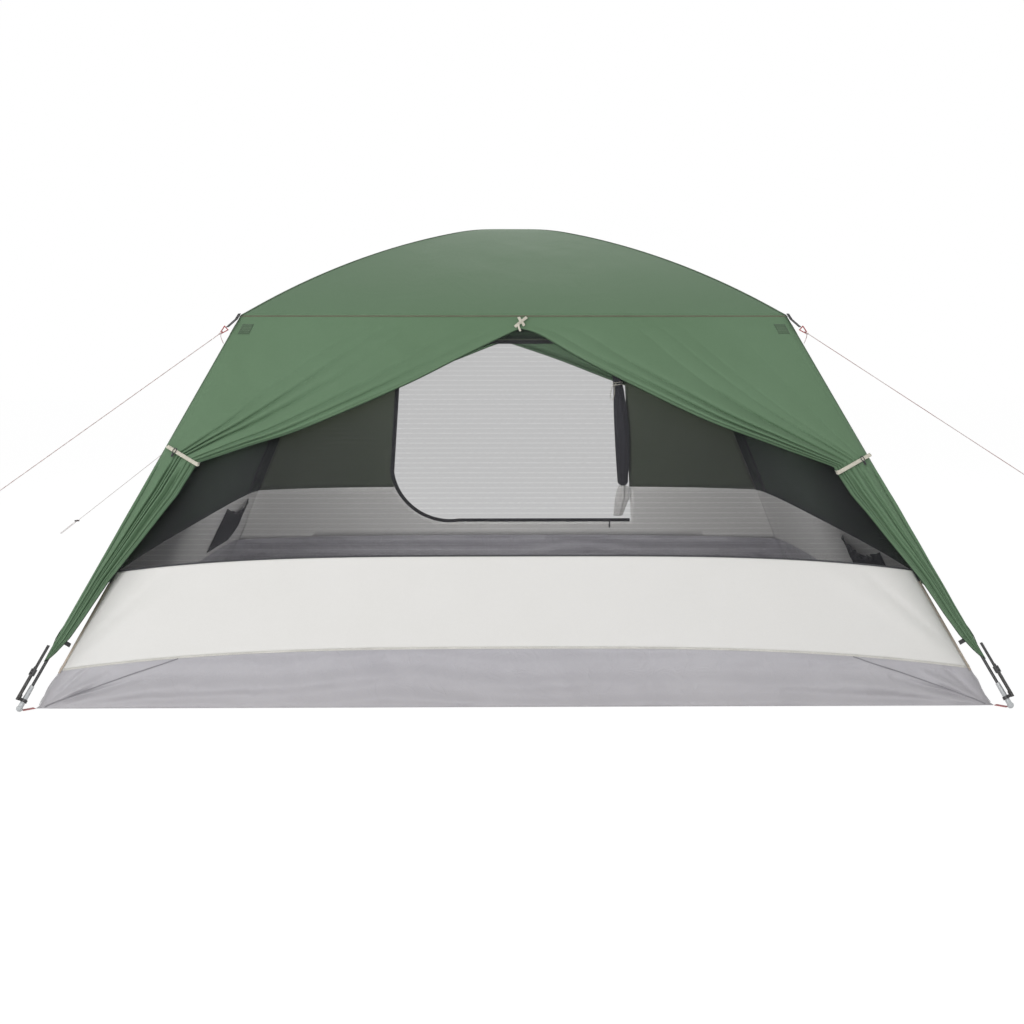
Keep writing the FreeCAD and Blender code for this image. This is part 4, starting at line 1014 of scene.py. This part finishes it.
def zip_line():
    """The zip's middle from the foot of the hinge along the sill, up the free side and along the head."""
    sill = np.stack([np.linspace(-0.745, 0.300, 60), np.full(60, DOOR_SILL)], -1)
    foot = arc_through((0.300, DOOR_SILL), (0.590, 0.430), (0.692, 0.640), 40)
    free = np.linspace((0.692, 0.640), (0.640, 1.150), 30)
    head = arc_through((0.640, 1.150), (0.545, 1.330), (0.300, DOOR_HEAD), 40)
    back = np.stack([np.linspace(0.300, -0.640, 50), np.full(50, DOOR_HEAD)], -1)
    return np.vstack([sill, foot[1:], free[1:], head[1:], back[1:]])


def grown(outline, amount):
    """A closed outline moved outwards."""
    ahead = np.roll(outline, -1, axis=0) - np.roll(outline, 1, axis=0)
    ahead /= np.linalg.norm(ahead, axis=1, keepdims=True)
    return outline + np.stack([ahead[:, 1], -ahead[:, 0]], -1) * amount


def inside(points, outline):
    """Which points are inside a closed outline."""
    x, z = points[:, 0], points[:, 1]
    within = np.zeros(len(points), bool)
    for (ax, az), (bx, bz) in zip(outline, np.roll(outline, -1, axis=0)):
        crosses = (az > z) != (bz > z)
        if az != bz:
            within ^= crosses & (x < (bx - ax) * (z - az) / (bz - az) + ax)
    return within


DOOR_LINE = zip_line()
DOOR_HOLE = grown(DOOR_LINE, ZIP_HALF_WIDTH + 0.001)
DOOR_HOLE[:2] = (-0.752, DOOR_SILL - 0.007), (-0.735, DOOR_SILL - 0.007)
DOOR_HOLE[-2:] = (-0.630, DOOR_HEAD + 0.007), (-0.647, DOOR_HEAD + 0.007)


def cut_panel(name, low, high, kind, step):
    """A panel of the rear wall with the door cut out of it."""
    share = np.linspace(-1, 1, 150)
    bottom = seam_at(share, *low, INNER)
    top = seam_at(share, *high, INNER) if high else np.full(150, eave(INNER)[1])
    rim = np.vstack([np.stack([share * wall_half(bottom, INNER), bottom], -1),
                     np.stack([share * wall_half(top, INNER), top], -1)[::-1]])
    xs = np.arange(-1.70, 1.70, step)
    zs = np.arange(bottom.min(), top.max(), step)
    inner = np.stack(np.meshgrid(xs, zs), -1).reshape(-1, 2)
    inner = inner[inside(inner, grown(rim, -step * 0.4)) & ~inside(inner, grown(DOOR_HOLE, step * 0.4))]
    lines, coords, first = [], [], 0
    for outline in (rim, DOOR_HOLE):
        lines += [(first + i, first + (i + 1) % len(outline)) for i in range(len(outline))]
        coords += [Vector(p) for p in outline]
        first += len(outline)
    coords += [Vector(p) for p in inner]
    flat, _, faces, _, _, _ = geometry.delaunay_2d_cdt(coords, lines, [], 0, 1e-6)
    flat = np.array([tuple(p) for p in flat])
    middles = flat[np.array(faces)].mean(axis=1)
    kept = inside(middles, rim) & ~inside(middles, DOOR_HOLE)
    faces = [f for f, keep in zip(faces, kept) if keep]
    used = sorted({i for f in faces for i in f})
    index = {old: new for new, old in enumerate(used)}
    flat = flat[used]
    x, z = flat[:, 0], flat[:, 1]
    half = wall_half(z, INNER)
    share_here = np.clip(x / half, -1, 1)
    low_here = seam_at(share_here, *low, INNER)
    high_here = seam_at(share_here, *high, INNER) if high else np.full(len(x), eave(INNER)[1])
    rise = (z - low_here) / (high_here - low_here)
    near_door = np.min(np.linalg.norm(flat[:, None] - DOOR_HOLE[None, ::4], axis=2), axis=1)
    lift = inner_relief(kind)(x, z, np.clip(rise, 0, 1)) * smooth(0.0, 0.12, near_door)
    points = on_wall(REAR, x, z, INNER, lift - 0.001, ROUND)
    return finish_mesh(name, points, [[index[i] for i in f] for f in faces], flat, CLOTH)


rear_band = cut_panel("band_rear", skirt_seam(REAR), band_seam(REAR), "band", 0.03)
cloth(rear_band, M["cream"], ["inner_band_rear"])
rear_panel = cut_panel("panel_rear", band_seam(REAR), None, "band", 0.04)
cloth(rear_panel, M["rear"], ["inner_rear_panel"])


def on_rear(line, lift):
    return on_wall(REAR, line[:, 0], line[:, 1], INNER, lift, ROUND)


def make_zip():
    path = on_rear(even(DOOR_LINE, 400), -0.0016)
    verts, faces, uvs = tape(path, out_of_wall(REAR), 0.024, 0.0009, lift=-0.0005)
    dress(finish_mesh("rear_zip_tape", verts, faces, uvs), M["black_tape"], ["rear_door_zip"])
    spacing = 0.0040
    count = int(run_lengths(on_rear(DOOR_LINE, 0.0))[-1] / spacing)
    places = on_rear(even(DOOR_LINE, count), -0.0008)
    sides, ups = frames_along(places, out_of_wall(REAR))
    ahead = np.cross(ups, sides)
    verts, faces = [], []
    block = [(-1, -1, -1), (1, -1, -1), (1, 1, -1), (-1, 1, -1), (-1, -1, 1), (1, -1, 1), (1, 1, 1), (-1, 1, 1)]
    quads = [(0, 3, 2, 1), (4, 5, 6, 7), (0, 1, 5, 4), (1, 2, 6, 5), (2, 3, 7, 6), (3, 0, 4, 7)]
    for i in range(count):
        for a, b, c in block:
            verts.append(places[i] + ahead[i] * a * 0.0012 + sides[i] * b * (0.0034 - 0.0006 * c) + ups[i] * c * 0.0018)
        faces += [[8 * i + n for n in quad] for quad in quads]
    teeth = finish_mesh("rear_zip_teeth", verts, faces, np.zeros((len(verts), 2)))
    dress(teeth, M["zip_teeth"])


make_zip()

# The rolled door, with sections of its height, distance from the middle, half width and half depth
ROLL = [(0.366, 0.668, 0.030, 0.017), (0.480, 0.686, 0.044, 0.026), (0.560, 0.690, 0.032, 0.024),
        (0.800, 0.671, 0.043, 0.030), (1.000, 0.652, 0.041, 0.030), (1.162, 0.627, 0.027, 0.023),
        (1.178, 0.625, 0.027, 0.023), (1.260, 0.616, 0.036, 0.027), (1.330, 0.606, 0.018, 0.015)]


def roll_piece(name, sections, folds, depth, seed, rows):
    """Cloth rolled round itself: a loft of ovals with folds and creases."""
    sections = np.array(sections)
    z = np.linspace(sections[0, 0], sections[-1, 0], rows)
    x, wide, deep = (np.interp(z, sections[:, 0], sections[:, k]) for k in (1, 2, 3))
    theta = np.linspace(0, 2 * pi, 96, endpoint=False)[None, :]
    level = z[:, None]
    crease = soft_noise(theta * 2.2 + 5, level * 16, seed) * np.sin(theta / 2) ** 2
    size = 1 - depth * (0.5 + 0.5 * np.sin(folds * theta + 2.4 * soft_noise(level * 5, 0 * level, seed + 1)))
    size = size + 0.10 * crease
    ends = np.minimum(smooth(0, 0.04, (level - z[0]) / (z[-1] - z[0]) + 0.012),
                      smooth(0, 0.04, (z[-1] - level) / (z[-1] - z[0]) + 0.012))
    size = size * np.sqrt(ends)
    offset = INNER - 0.006 - deep[:, None] + deep[:, None] * size * np.sin(theta)
    points = on_wall(REAR, -x[:, None] + wide[:, None] * size * np.cos(theta), level + 0 * theta, offset, 0.0, 400)
    uv = np.stack(np.broadcast_arrays(theta * 0.04, level), -1)
    rows_, columns = points.shape[:2]
    faces = grid_faces(rows_, columns, closed=True)
    faces += [list(range(columns))[::-1], [(rows_ - 1) * columns + i for i in range(columns)]]
    return finish_mesh(name, points.reshape(-1, 3), faces, uv.reshape(-1, 2))


dress(roll_piece("door_roll", ROLL[2:], 7, 0.16, 81, 150), M["roll_mesh"], ["rear_door_roll"])
dress(roll_piece("door_roll_hem", ROLL[:3], 5, 0.30, 84, 70), M["cream"], ["rear_door_roll_hem"])


# Straps that hold the gathered doors, each from the leg to the free edge and round behind the cloth
TIE_LINES = {"front_right": ((1.384, 0.912), (1.262, 0.848)), "front_left": ((1.352, 0.946), (1.240, 0.882)),
             "rear_right": ((1.318, 1.010), (1.234, 0.968)), "rear_left": ((1.318, 1.010), (1.234, 0.968))}


def flat_path(points, quarter, mirror, offset=FLY):
    """A path on a wall from points of distance from the middle, height and lift."""
    points = np.asarray(points, float)
    return on_wall(quarter, mirror * points[:, 0], points[:, 1], offset, points[:, 2], 400)


def make_tieback(name, quarter):
    mirror = -1 if name.endswith("left") else 1
    (ax, az), (bx, bz) = TIE_LINES[name]
    leg, free = np.array([ax, az]), np.array([bx, bz])
    ahead = (free - leg) / np.linalg.norm(free - leg)
    stations = [(0.000, 0.010, (0, 1)), (0.012, 0.017, (0, 1)), (0.040, 0.0235, (0, 1)), (0.080, 0.0245, (0, 1)),
                (1.000, 0.0200, (0.3, 1)), (1.070, 0.0120, (0.8, 0.6)), (1.090, 0.0000, (1, 0)),
                (1.070, -0.0150, (0.8, -0.6)), (1.000, -0.0235, (0.2, -1)), (0.600, -0.0245, (0, -1)),
                (0.300, -0.0220, (0, -1))]
    length = np.linalg.norm(free - leg)
    rows = [(*(leg + ahead * share * length), lift) for share, lift, _ in stations]
    path = flat_path(curve_through(rows, 90), quarter, mirror)
    outward = out_of_wall(quarter)
    toward_free = unit_row(flat_path([(*free, 0.0)], quarter, mirror) - flat_path([(*leg, 0.0)], quarter, mirror))[0]
    ups = curve_through([(s, u) for _, _, (s, u) in stations], 90)
    normals = ups[:, :1] * toward_free + ups[:, 1:] * outward
    strap = finish_mesh("tie_strap_" + name, *tape(path, normals, 0.0155, 0.0018, lift=-0.0009))
    dress(strap, M["cream_tape"], ["door_tieback_straps"])
    middle = leg + ahead * length * 0.27
    turn = np.linspace(0, 2 * pi, 33)[:-1]
    across = np.array([-ahead[1], ahead[0]])
    ring = [(*(middle + ahead * 0.0055 * cos(t) + across * 0.0115 * sin(t)), 0.0275 + 0.002 * sin(2 * t)) for t in turn]
    loop = tube(flat_path(ring, quarter, mirror), outward, 0.0016, 8, closed=True)
    knot_line = [(*(middle + across * (0.0105 + 0.003 * k) + ahead * 0.004 * (k % 2)), 0.0285) for k in range(5)]
    knot = tube(flat_path(curve_through(knot_line, 24), quarter, mirror), outward, 0.0030, 10)
    dress(joined("tie_elastic_" + name, [loop, knot]), M["elastic"], ["door_tieback_loops"])


def unit_row(vectors):
    return vectors / np.linalg.norm(vectors, axis=-1, keepdims=True)


for door_name in DOOR_EDGES:
    make_tieback(door_name, FRONT if door_name.startswith("front") else REAR)


def make_top_tie(name, quarter):
    """The knotted tape at the top of a door: two crossed ends, a wrap and a tail."""
    strips = [((0.0500, 1.4530, 0.0105), (0.0270, 1.4350, 0.0135), (0.0020, 1.4140, 0.0100)),
              ((0.0170, 1.4535, 0.0100), (0.0260, 1.4370, 0.0160), (0.0350, 1.4260, 0.0140), (0.0390, 1.4180, 0.0090)),
              ((0.0160, 1.4290, 0.0150), (0.0170, 1.4150, 0.0100), (0.0205, 1.4050, 0.0060), (0.0230, 1.3960, 0.0080))]
    parts = []
    for width, points in zip((0.0125, 0.0115, 0.0085), strips):
        path = flat_path(curve_through(points, 30), quarter, 1)
        parts.append(tape(path, out_of_wall(quarter), width, 0.0014))
    turn = np.linspace(0, 2 * pi, 25)[:-1]
    wrap = [(0.0225 + 0.0085 * cos(t), 1.4325 + 0.0030 * cos(t), 0.0145 + 0.0050 * sin(t)) for t in turn]
    parts.append(tube(flat_path(wrap, quarter, 1), (0, 0, 1), 0.0022, 8, closed=True))
    dress(joined(name, parts), M["cream_tape"], ["door_top_ties"])


make_top_tie("top_tie_front", FRONT)
make_top_tie("top_tie_rear", REAR)


# Seams, hems and bindings

def corner_point(z, offset, lift=0.0):
    """The rounded corner between the front and the right side at a height."""
    half = wall_half(z, offset + lift) * corner_rounding(1.0, ROUND)
    return np.stack([half, -half, z], -1)


def at_each_corner(make):
    return [make(quarter) for quarter in range(4)]


def leg_piping(quarter):
    z = np.linspace(FLY_TIP + 0.03, eave(FLY)[1], 60)
    path = turned(quarter, *corner_point(z, FLY).T)
    return tube(path, turned(quarter, 0.6, -0.6, 0.5), 0.0022, 8)


def ridge_piping(quarter):
    r, z, _ = roof_profile(FLY, 60)
    f = corner_rounding(1.0, ROUND)
    path = turned(quarter, r[1:] * f, -r[1:] * f, z[1:] + 0.0008)
    return tape(path, (0, 0, 1), 0.012, 0.0012)


def eave_seam(quarter):
    share = np.linspace(-1, 1, 121)
    half, top = eave(FLY)
    z = np.full(121, top - 0.0035)
    path = on_wall(quarter, share * wall_half(z, FLY), z, FLY, 0.0002, ROUND)
    return tape(path, out_of_wall(quarter), 0.0065, 0.0011)


def side_hem(quarter):
    share = np.linspace(-1, 1, 161)
    z = seam_at(share, (FLY_TIP, FLY_HEM, FLY_TIP), FLY_HEM_POWER, FLY) + 0.008
    x = share * wall_half(z, FLY)
    path = on_wall(quarter, x, z, FLY, side_relief(x, z, np.ones(161)) + 0.0006, ROUND)
    return tape(path, out_of_wall(quarter), 0.016, 0.0010)


dress(joined("fly_leg_piping", at_each_corner(leg_piping)), M["fly_seam"])
dress(joined("fly_ridge_tapes", at_each_corner(ridge_piping)), M["fly_seam"])
dress(joined("fly_eave_seam", at_each_corner(eave_seam)), M["eave_seam"])
dress(joined("fly_side_hems", [side_hem(RIGHT), side_hem(LEFT)]), M["fly_seam"])


# Heights at which the inner tent's seams meet its corners, each to the right of its side
SKIRT_CORNER = [SKIRT[quarter][2] for quarter in range(4)]
BAND_CORNER = [BAND[quarter][2] for quarter in range(4)]


def inner_tapes(seam_of, width, thick, lift, sides):
    return [tape(seam_path(q, seam_of(q), lift), out_of_wall(q), width, thick) for q in sides]


def inner_corner(quarter):
    z = np.linspace(BAND_CORNER[quarter], eave(INNER)[1], 80)
    path = turned(quarter, *corner_point(z, INNER, 0.0004).T)
    return tape(path, turned(quarter, 0.66, -0.66, 0.35), 0.012, 0.0010)


def band_corner(quarter):
    z = np.linspace(SKIRT_CORNER[quarter], BAND_CORNER[quarter], 40)
    path = turned(quarter, *corner_point(z, INNER, 0.0004).T)
    return tape(path, turned(quarter, 0.66, -0.66, 0.35), 0.014, 0.0010)


def gusset(quarter):
    """The seams of the floor's folded corners, which run up the skirt from both ends."""
    share = np.linspace(0, 1, 60)
    parts = []
    for side in (-1, 1):
        x = side * (1.742 - 0.480 * share)
        top = seam_height(side * 1.262, SKIRT[quarter], SKIRT_POWER) - 0.004
        z = 0.006 + (top - 0.006) * share ** 0.92
        tall = seam_height(x, SKIRT[quarter], SKIRT_POWER)
        relief = inner_relief("skirt")(x, z, z / tall)
        path = on_wall(quarter, x, z, INNER, relief + 0.0006, ROUND)
        parts.append(tape(path, out_of_wall(quarter), 0.0045, 0.0012))
    return parts


def split_at_door(quarter):
    """The rear band's top seam in two lengths, left and right of the door."""
    path = seam_path(REAR, band_seam(REAR), -0.0004, 400)
    z = path[:, 2]
    outline = np.stack([-path[:, 0], z], -1)
    outside = ~inside(outline, grown(DOOR_LINE, 0.016))
    runs = np.split(np.arange(400), np.flatnonzero(np.diff(outside.astype(int))) + 1)
    return [tape(path[run], out_of_wall(quarter), 0.008, 0.0010) for run in runs if outside[run[0]] and len(run) > 3]


dress(joined("skirt_piping", inner_tapes(skirt_seam, 0.0090, 0.0014, -0.0002, range(4))), M["cream_seam"])
dress(joined("net_seams", inner_tapes(band_seam, 0.0070, 0.0010, -0.0004, (FRONT, RIGHT, LEFT))), M["grey_seam"])
dress(joined("rear_band_seam", split_at_door(REAR)), M["grey_seam"])
dress(joined("inner_corner_seams", at_each_corner(inner_corner)), M["grey_seam"])
dress(joined("band_corner_tapes", at_each_corner(band_corner)), M["corner_tape"])
dress(joined("skirt_gussets", sum((gusset(q) for q in range(4)), [])), M["gusset"])


def inner_eave(quarter):
    share = np.linspace(-1, 1, 81)
    z = np.full(81, eave(INNER)[1] - 0.004)
    return tape(on_wall(quarter, share * wall_half(z, INNER), z, INNER, -0.0002, ROUND), out_of_wall(quarter), 0.01, 0.001)


dress(joined("inner_eave_seams", at_each_corner(inner_eave)), M["black_tape"])


# Mesh pockets on the side walls, drooping at their open tops
POCKETS = {"left": (LEFT, -0.950, 0.262), "right": (RIGHT, -0.750, 0.240)}


def make_pocket(name, quarter, x_middle, base, seed):
    u = np.linspace(-1, 1, 90)[None, :]
    v = np.linspace(0, 1, 36)[:, None]
    tall = 0.238 - 0.040 * (1 - u ** 2) - 0.014 * np.abs(np.sin(u * 9 + seed)) * (1 - u ** 2)
    z = base + tall * v
    ends = (1 - np.abs(u) ** 6)
    belly = np.sin(np.minimum(v * 1.9, 1) * pi / 2) ** 0.7 * (1 - 0.25 * v)
    folds = 0.006 * soft_noise(u * 9, v * 4, seed) + 0.005 * np.sin(u * 26 + 3 * v) * v
    depth = 0.003 + (0.030 * belly * ends + folds * ends * v ** 0.5) * smooth(0, 0.06, v)
    x = x_middle + 0.309 * u + 0 * v
    points = on_wall(quarter, x, z, INNER, -0.002 - np.clip(depth, 0.001, 0.034), 400)
    uv = np.stack([x, z + 0 * u], -1)
    pouch = grid_piece("pocket_" + name, points, uv, CLOTH)
    edge = tube(points[-1], out_of_wall(quarter), 0.0028, 8)
    binding = dress(finish_mesh("pocket_edge_" + name, *edge), M["elastic"])
    cloth(pouch, M["pocket"], ["mesh_pockets"])


for seed, (pocket_name, (quarter, middle, base)) in enumerate(POCKETS.items()):
    make_pocket(pocket_name, quarter, middle, base, 91 + seed)


# The cords that cinch the rolled door
def make_roll_cords():
    parts = []
    for level in (1.1635, 1.1765):
        across, deep, x = 0.0290, 0.0250, 0.6262
        turn = np.linspace(0, 2 * pi, 41)[:-1]
        offset = INNER - 0.006 - 0.023 + deep * np.sin(turn)
        path = on_wall(REAR, -x + across * np.cos(turn), level + 0.003 * np.sin(turn * 2), offset, 0.0, 400)
        parts.append(tube(path, (0, 0, 1), 0.0019, 8, closed=True))
    for side in (-1, 1):
        ends = [(0.612, 1.170, -0.0560), (0.600 - 0.006 * side, 1.150, -0.0600), (0.597 - 0.012 * side, 1.110, -0.0560),
                (0.594 - 0.004 * side, 1.075, -0.0500)]
        parts.append(tube(flat_path(curve_through(ends, 30), REAR, -1, INNER), (0, 0, 1), 0.0017, 8))
    dress(joined("door_roll_cords", parts), M["cream_tape"], ["rear_door_roll_tie"])


make_roll_cords()


def guy_patch(quarter):
    """Two stitched patches, one each side of a shoulder."""
    parts = []
    for side_quarter, mirror in ((quarter, 1), ((quarter + 1) % 4, -1)):
        u, v = np.meshgrid(np.linspace(1.052, 1.098, 10), np.linspace(1.385, 1.425, 10))
        points = on_wall(side_quarter, mirror * (u + 0.495 * (1.425 - v) * 0.9), v, FLY, 0.0016, ROUND)
        faces = grid_faces(10, 10, flip=mirror < 0)
        parts.append((points.reshape(-1, 3), faces, np.stack([u - 1.075, v - 1.405], -1).reshape(-1, 2)))
    return parts


dress(joined("guy_patches", sum((guy_patch(q) for q in range(4)), []), CLOTH), M["fly_seam"])


# Everything of the CAD model that shows gets its material
SLOT_MATERIALS = {
    "fly_cloth": "fly", "rear_cloth": "rear", "cream_cloth": "cream", "floor_cloth": "floor", "mesh": "roll_mesh",
    "black_webbing": "black_webbing", "red_webbing": "red_webbing", "cream_webbing": "cream_webbing",
    "zip": "black_webbing", "pole": "pole", "steel": "steel", "black_plastic": "black_plastic",
    "grey_plastic": "grey_plastic", "guyline": "guyline", "elastic": "elastic"}
for part in frame["record"]["subparts"]:
    shown = frame["nodes"][part["node"]]
    shown.data.materials.clear()
    shown.data.materials.append(M[SLOT_MATERIALS[part["material_slot"]]])
